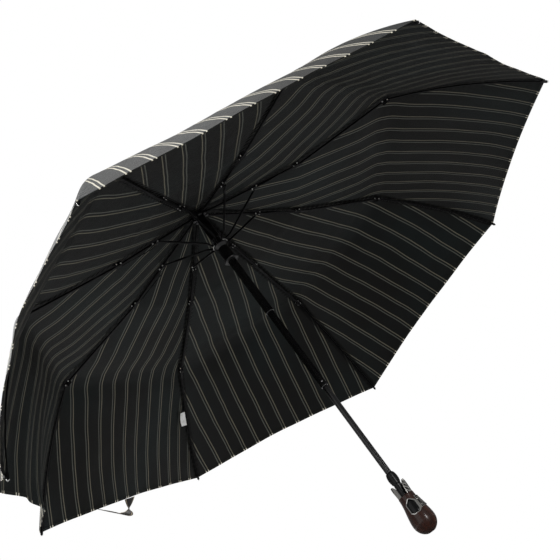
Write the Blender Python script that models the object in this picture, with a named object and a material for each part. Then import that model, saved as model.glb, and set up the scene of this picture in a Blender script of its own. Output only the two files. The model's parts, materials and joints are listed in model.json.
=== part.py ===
"""Three-fold automatic umbrella: eight jointed ribs, a telescopic shaft and a turned wooden grip.

The shaft stands on the z axis, the end of the grip is at z = 0 and the canopy is at the top. Rib 1 points
along +x and the others follow every 45 degrees, counter-clockwise seen from above. Lengths are in metres.
"""

import math

import bmesh
import bpy
from mathutils import Matrix, Vector

MM = 0.001
RIBS = 8
RIB_STEP = math.tau / RIBS
GAP = 0.35 * MM

# Rib layout as (distance from the shaft, height), heights counted from the hub.
HUB_Z = 558 * MM
HUB_PIVOT = Vector((10.5 * MM, 0.0))
KNEE_PIVOT = Vector((163 * MM, -43 * MM))
ELBOW_PIVOT = Vector((316 * MM, -77 * MM))
TIP = Vector((490 * MM, -209 * MM))
RUNNER_PIVOT = Vector((9.5 * MM, -60 * MM))
STRUT_PIN_ALONG = 81.9 * MM  # from the hub pivot, along the main rib
STRUT_PIN_DROP = 4.2 * MM

# Degrees by which the middle and the outer section of a rib are sprung out of that layout while the umbrella
# leans on its canopy edge; the other ribs keep the even shape.
RESTING_BEND = {3: (6, -8), 4: (3, 0), 5: (-3, -13), 7: (2, -12), 8: (-1, -24)}

# Rib bars: half widths, half heights and the clearance between a bar and the axis that it folds about.
MAIN_BAR = (2.2 * MM, 1.5 * MM)
MIDDLE_BAR = (2.0 * MM, 1.5 * MM)
OUTER_BAR = (1.5 * MM, 1.2 * MM)
STRUT_BAR = (1.4 * MM, 1.5 * MM)
FOLD_GAP = 0.4 * MM
KNUCKLE_R = 1.4 * MM
EYE_R = 1.0 * MM
ROOT_HALF_WIDTH = 1.5 * MM
CHEEK = 0.8 * MM
CHEEK_BACK = 9 * MM
CHEEK_FRONT = 2.6 * MM
CHEEK_RISE = 1.6 * MM
STRUT_OFFSET = 4.1 * MM
OUTER_BOW = 9 * MM
TIP_R = 1.7 * MM

# Shaft: outer radius, wall and the two heights of each tube.
TUBE_WALL = 0.85 * MM
TOP_TUBE = (6.45 * MM, HUB_Z - 195 * MM, HUB_Z + 1 * MM)
MIDDLE_TUBE = (5.3 * MM, HUB_Z - 329 * MM, HUB_Z - 165 * MM)
BOTTOM_TUBE = (4.15 * MM, 18 * MM, HUB_Z - 304 * MM)
WIRE_R = 0.55 * MM
SLEEVE_R = 7.6 * MM
NOTCH_R = 13 * MM
FLANGE_R = 12 * MM

# Grip and button.
GRIP_TOP_Z = 53 * MM
GRIP_TOP_R = 10.8 * MM
BULB_R = 16 * MM
BULB_Z = 16 * MM
FOOT_R = 5 * MM
BUTTON_FACING = math.radians(9)
BUTTON_Z = 36.5 * MM
BUTTON_HALF_WIDTH = 7.4 * MM
BUTTON_HALF_HEIGHT = 10.4 * MM
BEZEL_RIM = 1.7 * MM
BUTTON_FLOOR = 5.7 * MM
BEZEL_FLOOR = 8.0 * MM
BUTTON_BACK = 8.3 * MM
LOBES = (math.radians(60), math.radians(240))  # ways that the lobes of the cup face, counted from the button

# Canopy.
CLOTH = 0.6 * MM
CLOTH_SAG = 6 * MM
CROWN_OPENING = 8 * MM
SEAM_GAP = 0.3 * MM  # half the gap between two gores
PANEL_CELLS = 8
OVER_ELBOW = 5.8 * MM
ALONG_OUTER = (0.16, 0.34, 0.52, 0.7, 0.88, 1.0)  # shares of the outer rib at which its cloth is shaped
BILLOW = 24 * MM  # how far the slack hem between ribs 8 and 1 stands out
PLEAT = (-18 * MM, 14 * MM, 0.6)  # hem from rib 7 to 8: how far in, then how far out, and where it turns
STRAP_ENDS = (0.49, 0.68)  # shares of the way from tip 6 to tip 7
STRAP_WIDTH = 24 * MM
STRAP_THICK = 0.8 * MM
STRAP_STEPS = 96
STRAP_DROP = (40 * MM, 24 * MM)  # how far the two inner control points hang below its first end
STRAP_TURN = (0.0, 0.4)  # shares of its length between which it turns from flat along the hem to across it
HANGING = Vector((-0.25, -0.64, -0.72)).normalized()  # way down while the umbrella leans on its canopy edge
LABEL = (26 * MM, 14 * MM, 0.5 * MM)  # along the seam, away from it, and its thickness
LABEL_PLACE = 0.37  # share of the way from the elbow to the tip
LABEL_HANG = math.radians(8)  # from the cloth to the label
LABEL_RIB = 6


def clear_scene():
    for obj in list(bpy.data.objects):
        bpy.data.objects.remove(obj, do_unlink=True)


def make_material(name, colour, roughness, metallic=0.0):
    material = bpy.data.materials.new(name)
    material.use_nodes = True
    shader = material.node_tree.nodes["Principled BSDF"]
    shader.inputs["Base Color"].default_value = (*colour, 1.0)
    shader.inputs["Roughness"].default_value = roughness
    shader.inputs["Metallic"].default_value = metallic
    return material


def add_object(name, shape, material, place=None, smooth=True):
    """One sub-part from (points, faces) given in its own frame; place carries that frame to the world."""
    points, faces = shape
    mesh = bpy.data.meshes.new(name)
    mesh.from_pydata([tuple(p) for p in points], [], faces)
    bm = bmesh.new()
    bm.from_mesh(mesh)
    bmesh.ops.recalc_face_normals(bm, faces=bm.faces)
    if bm.calc_volume(signed=True) < 0:
        bmesh.ops.reverse_faces(bm, faces=bm.faces)
    bm.to_mesh(mesh)
    bm.free()
    mesh.polygons.foreach_set("use_smooth", [smooth] * len(mesh.polygons))
    if smooth:
        mesh.set_sharp_from_angle(angle=math.radians(35))
    mesh.materials.append(material)
    obj = bpy.data.objects.new(name, mesh)
    obj.matrix_world = place or Matrix.Identity(4)
    bpy.context.scene.collection.objects.link(obj)
    return obj


def combine(first, second, operation):
    """The shape of first joined with, cut by or kept inside second."""
    base = add_object("base", first, None, smooth=False)
    tool = add_object("tool", second, None, smooth=False)
    step = base.modifiers.new("step", "BOOLEAN")
    step.operation = operation
    step.solver = "EXACT"
    step.object = tool
    bpy.context.view_layer.update()
    evaluated = base.evaluated_get(bpy.context.evaluated_depsgraph_get())
    points = [v.co.copy() for v in evaluated.data.vertices]
    faces = [tuple(p.vertices) for p in evaluated.data.polygons]
    bpy.data.objects.remove(base)
    bpy.data.objects.remove(tool)
    return points, faces


def join(first, *others):
    for other in others:
        first = combine(first, other, "UNION")
    return first


def cut(first, *others):
    for other in others:
        first = combine(first, other, "DIFFERENCE")
    return first


def loft(rings):
    """A closed solid through rings of equally many points, with flat ends."""
    count = len(rings[0])
    points = [p for ring in rings for p in ring]
    faces = [tuple(reversed(range(count)))]
    for row in range(len(rings) - 1):
        for i in range(count):
            j = (i + 1) % count
            faces.append((row * count + i, row * count + j, (row + 1) * count + j, (row + 1) * count + i))
    last = (len(rings) - 1) * count
    faces.append(tuple(range(last, last + count)))
    return points, faces


def rectangle(y0, y1, z0, z1):
    return ((y0, z0), (y1, z0), (y1, z1), (y0, z1))


def block(x0, x1, half_width, z0, z1):
    corners = rectangle(-half_width, half_width, z0, z1)
    return loft([[Vector((x, y, z)) for y, z in corners] for x in (x0, x1)])


def disc(x, z, radius, half_width, sides=10):
    """A round lug about the tangential axis."""
    rings = []
    for y in (-half_width, half_width):
        angles = [math.tau * i / sides for i in range(sides)]
        rings.append([Vector((x + radius * math.cos(a), y, z + radius * math.sin(a))) for a in angles])
    return loft(rings)


def bar(stations):
    """A bar with eased edges through (x, y, z, half width, half height) stations."""
    rings = []
    for x, y, z, w, h in stations:
        e = 0.4 * min(w, h)
        below = ((-w, e - h), (e - w, -h), (w - e, -h), (w, e - h))
        corners = below + tuple((-dy, -dz) for dy, dz in below)
        rings.append([Vector((x, y + dy, z + dz)) for dy, dz in corners])
    return loft(rings)


def turned(profile, segments, top=None):
    """A solid of revolution from a closed (radius, height) outline; top may reshape points by angle."""
    points = []
    rows = []
    for radius, height in profile:
        if radius < 1e-9:
            rows.append([len(points)] * segments)
            points.append(Vector((0, 0, height)))
            continue
        row = []
        for i in range(segments):
            angle = math.tau * i / segments
            r, z = top(radius, height, angle) if top else (radius, height)
            row.append(len(points))
            points.append(Vector((r * math.cos(angle), r * math.sin(angle), z)))
        rows.append(row)
    faces = []
    for a, b in zip(rows, rows[1:] + rows[:1]):
        for i in range(segments):
            j = (i + 1) % segments
            face = list(dict.fromkeys((a[i], a[j], b[j], b[i])))
            if len(face) > 2:
                faces.append(tuple(face))
    return points, faces


def tube(outer, wall, z0, z1, segments=20):
    ease = 0.25 * MM
    inner = outer - wall
    profile = [(inner, z0), (outer - ease, z0), (outer, z0 + ease)]
    profile += [(outer, z1 - ease), (outer - ease, z1), (inner, z1)]
    return turned(profile, segments)


def ring(radius, wire, height, segments=32, sides=6):
    angles = [math.tau * i / sides for i in range(sides)]
    return turned([(radius + wire * math.cos(a), height + wire * math.sin(a)) for a in angles], segments)


def rotated(shape, angle):
    """The shape turned in the rib plane: a positive angle lifts its outer end."""
    turn = Matrix.Rotation(-angle, 4, "Y")
    return [turn @ p for p in shape[0]], shape[1]


def rib_place(pivot, index):
    """The frame of rib number index, counted from 0, at a pivot in its plane."""
    return Matrix.Rotation(index * RIB_STEP, 4, "Z") @ Matrix.Translation((pivot.x, 0, HUB_Z + pivot.y))


def pitch(start, end):
    return math.atan2(end.y - start.y, end.x - start.x)


def swung(step, degrees):
    """A (distance, height) step turned upwards in the rib plane."""
    a = math.radians(degrees)
    return Vector((step.x * math.cos(a) - step.y * math.sin(a), step.x * math.sin(a) + step.y * math.cos(a)))


def elbow_and_tip(index):
    """Where the elbow pivot and the tip of a rib are, with the bend that the rib rests in."""
    knee_bend, elbow_bend = RESTING_BEND.get(index + 1, (0, 0))
    elbow = KNEE_PIVOT + swung(ELBOW_PIVOT - KNEE_PIVOT, knee_bend)
    return elbow, elbow + swung(TIP - ELBOW_PIVOT, knee_bend + elbow_bend)


def clevis(x, inner_half, bar_height, side):
    """Two cheeks about the fold axis at x, and what to cut out between them.

    side is -1 where the bar runs below the axis and 1 where it runs above.
    """
    outer_half = inner_half + CHEEK
    reach = FOLD_GAP + bar_height
    low, high = sorted((side * reach, -side * CHEEK_RISE))
    cheeks = block(x - CHEEK_BACK, x + CHEEK_FRONT, outer_half, low, high)
    cleared = sorted((side * FOLD_GAP, -side * 5 * MM))
    above = block(x - CHEEK_BACK - 1 * MM, x + CHEEK_FRONT + 1 * MM, inner_half, *cleared)
    ahead = block(x - 0.3 * MM, x + CHEEK_FRONT + 1 * MM, inner_half, -6 * MM, 6 * MM)
    relief = disc(x, 0, KNUCKLE_R + GAP, inner_half)
    return cheeks, (above, ahead, relief)


def main_rib():
    length = (KNEE_PIVOT - HUB_PIVOT).length
    w, h = MAIN_BAR
    drop = -(FOLD_GAP + h)
    root = ROOT_HALF_WIDTH
    body = bar(
        [
            (0.0, 0, 0, root, h),
            (5 * MM, 0, 0.3 * drop, root, h),
            (12 * MM, 0, drop, w, h),
            (STRUT_PIN_ALONG, 0, drop, w, h),
            (length - 4 * MM, 0, drop, w, h),
        ]
    )
    lug = disc(STRUT_PIN_ALONG, -STRUT_PIN_DROP, 2.0 * MM, w - 0.2 * MM)
    cheeks, openings = clevis(length, MIDDLE_BAR[0] + GAP, 2 * h, -1)
    eye = disc(0, 0, 2.0 * MM, root - 0.05 * MM)
    shape = cut(join(body, eye, lug, cheeks), *openings, disc(0, 0, EYE_R, 4 * MM))
    return shape


def middle_rib():
    length = (ELBOW_PIVOT - KNEE_PIVOT).length
    w, h = MIDDLE_BAR
    offset = FOLD_GAP + h
    start = 0.3 * MM
    body = bar(
        [
            (start, 0, -offset, w, h),
            (0.15 * length, 0, -0.8 * offset, w, h),
            (0.85 * length, 0, 0.8 * offset, w, h),
            (length - 4 * MM, 0, offset, w, h),
        ]
    )
    knuckle = disc(0, 0, KNUCKLE_R, w - 0.05 * MM)
    cheeks, openings = clevis(length, OUTER_BAR[0] + GAP, 2 * h, 1)
    return cut(join(body, knuckle, cheeks), *openings)


def outer_rib_height(x, length):
    """Centre line of the sprung outer rib above the line from its pivot to its tip."""
    share = x / length
    lift = FOLD_GAP + OUTER_BAR[1]
    return 4 * OUTER_BOW * share * (1 - share) + lift * (1 - share)


def outer_rib():
    length = (TIP - ELBOW_PIVOT).length
    w, h = OUTER_BAR
    cap_start = length - 9 * MM
    stations = []
    for i in range(7):
        x = 0.3 * MM + (cap_start - 0.3 * MM) * i / 6
        taper = 1 - 0.3 * i / 6
        stations.append((x, 0, outer_rib_height(x, length), w * taper, h * taper))
    for x, r in ((cap_start + 0.1 * MM, TIP_R), (length - 1.5 * MM, TIP_R), (length - 0.2 * MM, 0.5 * TIP_R)):
        stations.append((x, 0, outer_rib_height(x, length), r, r))
    return join(bar(stations), disc(0, 0, KNUCKLE_R, w - 0.05 * MM))


def strut_pin():
    """Where the strut meets the main rib, in the rib plane."""
    angle = pitch(HUB_PIVOT, KNEE_PIVOT)
    along = Vector((math.cos(angle), math.sin(angle)))
    across = Vector((along.y, -along.x))
    return HUB_PIVOT + along * STRUT_PIN_ALONG + across * STRUT_PIN_DROP


def strut():
    """The stretcher between runner and main rib, joggled sideways so that it can fold beside the rib."""
    length = (strut_pin() - RUNNER_PIVOT).length
    w, h = STRUT_BAR
    body = bar(
        [
            (0.0, 0, 0, w, h),
            (5 * MM, 0, 0, w, h),
            (13 * MM, STRUT_OFFSET, 0, w, h),
            (length, STRUT_OFFSET, 0, w, h),
        ]
    )
    points, faces = disc(length, 0, 2.0 * MM, w - 0.05 * MM)
    boss = ([p + Vector((0, STRUT_OFFSET, 0)) for p in points], faces)
    shape = join(body, disc(0, 0, 1.9 * MM, w - 0.05 * MM), boss)
    return cut(shape, disc(0, 0, EYE_R, 3 * MM))


def notched(profile, pivot, height, depth_z):
    """A turned ring with a slot for each rib root and an annular channel for the wire that holds them."""
    shape = turned(profile, 40)
    inner, outer = pivot.x - 2.3 * MM, pivot.x + 8 * MM
    slot = block(inner, outer, ROOT_HALF_WIDTH + GAP, height - depth_z, height + 9 * MM)
    channel = [
        (pivot.x - WIRE_R - GAP, height - WIRE_R - GAP),
        (pivot.x + WIRE_R + GAP, height - WIRE_R - GAP),
        (pivot.x + WIRE_R + GAP, height + 9 * MM),
        (pivot.x - WIRE_R - GAP, height + 9 * MM),
    ]
    for index in range(RIBS):
        turn = Matrix.Rotation(index * RIB_STEP, 4, "Z")
        shape = cut(shape, ([turn @ p for p in slot[0]], slot[1]))
    return cut(shape, turned(channel, 40))


def crown_notch():
    z = HUB_Z
    bore = TOP_TUBE[0] + GAP
    profile = [
        (bore, z - 6 * MM),
        (NOTCH_R - 0.8 * MM, z - 6 * MM),
        (NOTCH_R, z - 5 * MM),
        (NOTCH_R, z + 0.8 * MM),
        (NOTCH_R - 0.8 * MM, z + 1.6 * MM),
        (bore, z + 1.6 * MM),
    ]
    return notched(profile, HUB_PIVOT, z, 9 * MM)


def crown_sleeve():
    wall = SLEEVE_R - TOP_TUBE[0] - GAP
    return tube(SLEEVE_R, wall, HUB_Z - 50 * MM, HUB_Z - 6.4 * MM, 24)


def ferrule_cap():
    z = HUB_Z
    profile = [
        (0, z + 17 * MM),
        (2.6 * MM, z + 16.6 * MM),
        (4.6 * MM, z + 15 * MM),
        (5.4 * MM, z + 12 * MM),
        (6.0 * MM, z + 8.5 * MM),
        (9.5 * MM, z + 7 * MM),
        (12.5 * MM, z + 5.2 * MM),
        (12.5 * MM, z + 4.2 * MM),
        (4.9 * MM, z + 4.2 * MM),
        (4.9 * MM, z - 9 * MM),
        (0, z - 9 * MM),
    ]
    return turned(profile, 24)


def runner():
    z = HUB_Z + RUNNER_PIVOT.y
    bore = TOP_TUBE[0] + GAP
    profile = [
        (bore, z + 1.5 * MM),
        (bore, z - 34 * MM),
        (8.2 * MM, z - 34 * MM),
        (11 * MM, z - 33.2 * MM),
        (11.6 * MM, z - 32 * MM),
        (11 * MM, z - 30.8 * MM),
        (8.6 * MM, z - 29.5 * MM),
        (8.5 * MM, z - 8 * MM),
        (11.2 * MM, z - 4.5 * MM),
        (FLANGE_R, z - 3.5 * MM),
        (FLANGE_R, z + 0.8 * MM),
        (FLANGE_R - 0.7 * MM, z + 1.5 * MM),
    ]
    return notched(profile, RUNNER_PIVOT, z, 3.2 * MM)


def grip_radius(z):
    """Outside of the turned grip: a round bulb that narrows evenly to the neck."""
    if z < BULB_Z:
        return BULB_R * math.sqrt(max(0.0, 1 - ((BULB_Z - z) / (1.053 * BULB_Z)) ** 2))
    share = (z - BULB_Z) / (GRIP_TOP_Z - BULB_Z)
    return GRIP_TOP_R + (BULB_R - GRIP_TOP_R) * (0.5 + 0.5 * math.cos(math.pi * share**0.95))


def grip_outline(extra, z0, z1, steps):
    heights = [z0 + (z1 - z0) * i / steps for i in range(steps + 1)]
    return [(grip_radius(z) + extra, z) for z in heights]


def shield(half_width, half_height, n0, n1):
    """A five-sided prism with its point up, from n0 to n1 along the way the button faces."""
    outline = (
        (-half_width, -0.72 * half_height),
        (-0.6 * half_width, -half_height),
        (0.6 * half_width, -half_height),
        (half_width, -0.72 * half_height),
        (half_width, 0.45 * half_height),
        (0.12 * half_width, half_height),
        (-0.12 * half_width, half_height),
        (-half_width, 0.45 * half_height),
    )
    turn = Matrix.Rotation(BUTTON_FACING, 4, "Z")
    rings = [[turn @ Vector((n, t, BUTTON_Z + u)) for t, u in outline] for n in (n0, n1)]
    return loft(rings)


def grip():
    bore = BOTTOM_TUBE[0] + GAP
    socket = bore + 1.15 * MM
    profile = [(0, 0), (FOOT_R, 0)]
    profile += grip_outline(0, 0.9 * MM, BULB_Z, 5)
    profile += grip_outline(0, BULB_Z, GRIP_TOP_Z, 8)[1:]
    profile += [(10.0 * MM, GRIP_TOP_Z), (10.0 * MM, 49.4 * MM), (socket, 49.4 * MM)]
    profile += [(socket, 44 * MM), (bore, 44 * MM), (bore, 16 * MM), (0, 16 * MM)]
    frame_pocket = shield(BUTTON_HALF_WIDTH + GAP, BUTTON_HALF_HEIGHT + GAP, BEZEL_FLOOR - GAP, 25 * MM)
    inner = BEZEL_RIM - 0.1 * MM
    deep_pocket = shield(BUTTON_HALF_WIDTH - inner, BUTTON_HALF_HEIGHT - inner, BUTTON_FLOOR, 25 * MM)
    return cut(turned(profile, 36), frame_pocket, deep_pocket)


def skin(extra):
    """The grip's outside moved out by extra, as a plain solid to trim the bezel and button with."""
    low, high = 20 * MM, 52 * MM
    return turned([(0, low)] + grip_outline(extra, low, high, 10) + [(0, high)], 64)


def button_bezel():
    frame = shield(BUTTON_HALF_WIDTH, BUTTON_HALF_HEIGHT, BEZEL_FLOOR, 22 * MM)
    opening = shield(BUTTON_HALF_WIDTH - BEZEL_RIM, BUTTON_HALF_HEIGHT - BEZEL_RIM, 0, 25 * MM)
    return cut(combine(frame, skin(0.9 * MM), "INTERSECT"), opening)


def push_button():
    inset = BEZEL_RIM + GAP
    body = shield(BUTTON_HALF_WIDTH - inset, BUTTON_HALF_HEIGHT - inset, BUTTON_BACK, 22 * MM)
    return combine(body, skin(1.7 * MM), "INTERSECT")


def button_spring():
    """A short coil between the pocket floor and the button."""
    turns, sides, steps = 2.25, 5, 27
    wire, radius = 0.28 * MM, 2.4 * MM
    start = BUTTON_FLOOR + GAP + wire
    travel = BUTTON_BACK - GAP - wire - start
    turn = Matrix.Rotation(BUTTON_FACING, 4, "Z")
    rings = []
    for i in range(steps + 1):
        angle = math.tau * turns * i / steps
        out = Vector((0, math.cos(angle), math.sin(angle)))
        centre = Vector((start + travel * i / steps, 0, BUTTON_Z)) + out * radius
        section = []
        for k in range(sides):
            a = math.tau * k / sides
            section.append(turn @ (centre + wire * (out * math.cos(a) + Vector((math.sin(a), 0, 0)))))
        rings.append(section)
    return loft(rings)


def facing_offset(angle, centre):
    """How far an angle is from a direction counted from the button, either way round."""
    return abs(math.remainder(angle - BUTTON_FACING - centre, math.tau))


def handle_cup():
    """A chrome washer and low wall in the top of the grip, with a tall rounded lobe on each side."""
    inner, outer, base = 5.6 * MM, 9.65 * MM, 49.8 * MM
    wall, rim, lobe_height = 0.9 * MM, 53.6 * MM, 17.5 * MM
    half_angle = math.radians(35)

    def lobes(radius, height, angle):
        if height < rim - 1e-6:
            return radius, height
        side = min(facing_offset(angle, centre) for centre in LOBES)
        share = min(1.0, side / half_angle)
        rise = (1 - share**2.6) ** 0.5
        return radius + 0.7 * MM * rise, rim + lobe_height * rise

    profile = [
        (inner, base),
        (outer, base),
        (outer, rim),
        (outer - wall, rim),
        (outer - wall, base + 1.1 * MM),
        (inner, base + 1.1 * MM),
    ]
    return turned(profile, 48, lobes)


def side_ornament():
    """A thin curved plate lying on the grip beside the button."""
    first, last = BUTTON_FACING + math.radians(40), BUTTON_FACING + math.radians(92)
    low, high = 28 * MM, 46 * MM
    outline = grip_outline(GAP, low, high, 6) + grip_outline(1.25 * MM, low, high, 6)[::-1]
    rings = []
    for i in range(11):
        angle = first + (last - first) * i / 10
        rings.append([Vector((r * math.cos(angle), r * math.sin(angle), z)) for r, z in outline])
    return loft(rings)


def neck_sleeve():
    inner = BOTTOM_TUBE[0] + GAP
    return tube(inner + 0.75 * MM, 0.75 * MM, 44.4 * MM, 70 * MM)


def neck_collar():
    """A short black collar on the bottom tube, with an ear on each side."""
    inner = BOTTOM_TUBE[0] + GAP
    low, high = 70.4 * MM, 87 * MM

    def ears(radius, height, angle):
        if radius < 4.9 * MM:
            return radius, height
        side = min(facing_offset(angle, math.pi / 2), facing_offset(angle, -math.pi / 2))
        bulge = math.exp(-((side / math.radians(28)) ** 2))
        middle = 1 - abs(2 * (height - low) / (high - low) - 1) ** 2
        return radius + 1.3 * MM * bulge * middle, height

    profile = [
        (inner, low),
        (5.1 * MM, low),
        (5.5 * MM, low + 1.5 * MM),
        (5.6 * MM, low + 5 * MM),
        (5.6 * MM, low + 8.5 * MM),
        (5.6 * MM, high - 5 * MM),
        (5.4 * MM, high - 1.5 * MM),
        (5.0 * MM, high),
        (inner, high),
    ]
    return turned(profile, 32, ears)


def cloth_line(index):
    """Underside of the cloth along a rib, as (distance, height) points from the crown to the tip."""
    elbow, tip = elbow_and_tip(index)
    length = (tip - elbow).length
    along = (tip - elbow).normalized()
    up = Vector((-along.y, along.x))
    lean = (pitch(KNEE_PIVOT, elbow) + pitch(elbow, tip)) / 2
    line = [Vector((CROWN_OPENING, 2.8 * MM)), Vector((16 * MM, 2.4 * MM))]
    for share in (0.3, 0.65):
        line.append(HUB_PIVOT.lerp(KNEE_PIVOT, share) + Vector((0, 2.3 * MM)))
    line.append(KNEE_PIVOT + Vector((0, 3.0 * MM)))
    for share in (0.35, 0.7):
        line.append(KNEE_PIVOT.lerp(elbow, share) + Vector((0, 3.0 * MM + 1.2 * MM * share)))
    line.append(elbow + OVER_ELBOW * Vector((-math.sin(lean), math.cos(lean))))
    for share in ALONG_OUTER[:-1]:
        x = share * length
        line.append(elbow + along * x + up * (outer_rib_height(x, length) + OUTER_BAR[1] + 1.3 * MM))
    line.append(tip - along * 2 * MM + up * (TIP_R + 1.2 * MM))
    return line


def beside_rib(point, index):
    """A (distance, height) point of a rib plane in the row frame."""
    return Matrix.Rotation(index * RIB_STEP, 3, "Z") @ Vector((point.x, 0, HUB_Z + point.y))


def hollow(radius):
    """How far a gore sinks between its ribs at a distance from the shaft."""
    reach = 0.8 * TIP.x
    return 0.5 * CLOTH_SAG * math.sin(math.pi * radius / reach) if radius < reach else 0.0


def billow(index, share):
    """How far the slack hem of a gore beside rib 8 stands off the line from tip to tip."""
    inwards, outwards, turn = PLEAT
    if index == 7:
        return BILLOW * math.sin(math.pi * share**0.75)
    if index == 6 and share < turn:
        return inwards * math.sin(math.pi * share / turn) ** 2
    if index == 6:
        return outwards * math.sin(math.pi * (share - turn) / (1 - turn))
    return 0.0


def panel_points(index):
    """Pairs of points through the thickness of a gore, straight but for a hollow and a slack hem."""
    points = []
    lines = cloth_line(index), cloth_line(index + 1 if index + 1 < RIBS else 0)
    down = [0.0] * (len(lines[0]) - len(ALONG_OUTER)) + [share**1.4 for share in ALONG_OUTER]
    middle = (index + 0.5) * RIB_STEP
    out = Vector((0.6 * math.cos(middle), 0.6 * math.sin(middle), 0.8))
    for first, second, reach in zip(*lines, down):
        start = beside_rib(first, index)
        end = beside_rib(second, index + 1)
        inset = (end - start).normalized() * (SEAM_GAP / math.cos(RIB_STEP / 2))
        depth = hollow((first.x + second.x) / 2)
        for k in range(PANEL_CELLS + 1):
            share = k / PANEL_CELLS
            base = (start + inset).lerp(end - inset, share)
            base.z -= depth * 4 * share * (1 - share)
            base += out * billow(index, share) * reach
            points += [base, base + Vector((0, 0, CLOTH))]
    return points


def canopy_panel(index):
    """One thin gore from rib number index to the next."""
    points = panel_points(index)
    row = 2 * (PANEL_CELLS + 1)
    rows = len(points) // row
    faces = []
    for i in range(rows - 1):
        for k in range(PANEL_CELLS):
            a = i * row + 2 * k
            b = a + row
            faces += [(a, a + 2, b + 2, b), (a + 1, b + 1, b + 3, a + 3)]
        for a in (i * row, i * row + 2 * PANEL_CELLS):
            faces.append((a, a + row, a + row + 1, a + 1))
    for a in (0, (rows - 1) * row):
        for k in range(PANEL_CELLS):
            faces.append((a + 2 * k, a + 2 * k + 1, a + 2 * k + 3, a + 2 * k + 2))
    return points, faces


def bezier(controls, t):
    """A point of a cubic curve and its direction there."""
    a, b, c, d = controls
    point = a * (1 - t) ** 3 + b * 3 * t * (1 - t) ** 2 + c * 3 * t * t * (1 - t) + d * t**3
    tangent = (b - a) * (1 - t) ** 2 + (c - b) * 2 * t * (1 - t) + (d - c) * t * t
    return point, tangent.normalized()


def closure_strap():
    """A loop of cloth: it leaves the hem flat, turns on itself and comes back to the hem nearer to rib 7."""
    tips = [beside_rib(elbow_and_tip(index)[1], index) for index in (5, 6)]
    along = (tips[1] - tips[0]).normalized()
    turned_width = along.cross(HANGING)
    clearance = HANGING * 3.5 * MM
    first, last = (tips[0].lerp(tips[1], share) + clearance for share in STRAP_ENDS)
    second = first + HANGING * STRAP_DROP[0]
    third = first.lerp(last, 0.1) + HANGING * STRAP_DROP[1]
    controls = (first, second, third, last)
    start, end = STRAP_TURN
    rings = []
    for i in range(STRAP_STEPS + 1):
        share = i / STRAP_STEPS
        centre, tangent = bezier(controls, share)
        turn = math.pi / 2 * min(1.0, max(0.0, (share - start) / (end - start)))
        width = along * math.cos(turn) + turned_width * math.sin(turn)
        width = (width - tangent * width.dot(tangent)).normalized()
        thickness = tangent.cross(width) * STRAP_THICK / 2
        half = width * STRAP_WIDTH / 2
        rings.append([centre + half + thickness, centre - half + thickness])
        rings[-1] += [centre - half - thickness, centre + half - thickness]
    return loft(rings)


def care_label():
    """A small woven tag sewn into the seam of its rib, hanging a little away from the next gore."""
    elbow, tip = elbow_and_tip(LABEL_RIB - 1)
    length, width, thickness = LABEL
    slope = pitch(elbow, tip)
    along = Vector((math.cos(slope), 0, math.sin(slope)))
    up = Vector((-math.sin(slope), 0, math.cos(slope)))
    chord = Vector((-math.sin(RIB_STEP / 2), math.cos(RIB_STEP / 2), 0))
    away = chord * math.cos(LABEL_HANG) - up * math.sin(LABEL_HANG)
    start = elbow.lerp(tip, LABEL_PLACE)
    beside = Vector((start.x, 2.8 * MM, HUB_Z + start.y)) + up * 7.5 * MM
    through = along.cross(away).normalized() * thickness
    rings = []
    for s in (0.0, length):
        corner = beside + along * s
        rings.append([corner, corner + away * width, corner + away * width - through, corner - through])
    return loft(rings)


def build_ribs(metal):
    shapes = {
        "main_rib": main_rib(),
        "middle_rib": middle_rib(),
        "outer_rib": outer_rib(),
        "stretcher": strut(),
    }
    for index in range(RIBS):
        elbow, tip = elbow_and_tip(index)
        spans = {
            "main_rib": (HUB_PIVOT, KNEE_PIVOT),
            "middle_rib": (KNEE_PIVOT, elbow),
            "outer_rib": (elbow, tip),
            "stretcher": (RUNNER_PIVOT, strut_pin()),
        }
        for name, (pivot, end) in spans.items():
            shape = rotated(shapes[name], pitch(pivot, end))
            add_object(f"{name}_{index + 1}", shape, metal, rib_place(pivot, index))


def build_shaft(metal, plastic, wire):
    add_object("top_tube", tube(TOP_TUBE[0], TUBE_WALL, TOP_TUBE[1], TOP_TUBE[2]), metal)
    add_object("middle_tube", tube(MIDDLE_TUBE[0], TUBE_WALL, MIDDLE_TUBE[1], MIDDLE_TUBE[2]), metal)
    add_object("bottom_tube", tube(BOTTOM_TUBE[0], TUBE_WALL, BOTTOM_TUBE[1], BOTTOM_TUBE[2]), metal)
    add_object("crown_notch", crown_notch(), plastic)
    add_object("crown_sleeve", crown_sleeve(), plastic)
    add_object("crown_wire", ring(HUB_PIVOT.x, WIRE_R, HUB_Z), wire)
    add_object("ferrule_cap", ferrule_cap(), plastic)
    add_object("runner", runner(), plastic)
    add_object("runner_wire", ring(RUNNER_PIVOT.x, WIRE_R, HUB_Z + RUNNER_PIVOT.y), wire)


def build_handle(wood, chrome, plastic, steel):
    add_object("grip", grip(), wood)
    add_object("handle_cup", handle_cup(), chrome)
    add_object("side_ornament", side_ornament(), chrome)
    add_object("button_bezel", button_bezel(), chrome)
    add_object("push_button", push_button(), plastic)
    add_object("button_spring", button_spring(), steel)
    add_object("neck_sleeve", neck_sleeve(), plastic)
    add_object("neck_collar", neck_collar(), plastic)


def build_cloth(fabric, label):
    for index in range(RIBS):
        add_object(f"canopy_panel_{index + 1}", canopy_panel(index), fabric)
    add_object("closure_strap", closure_strap(), fabric)
    place = Matrix.Rotation((LABEL_RIB - 1) * RIB_STEP, 4, "Z")
    add_object("care_label", care_label(), label, place)


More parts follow.
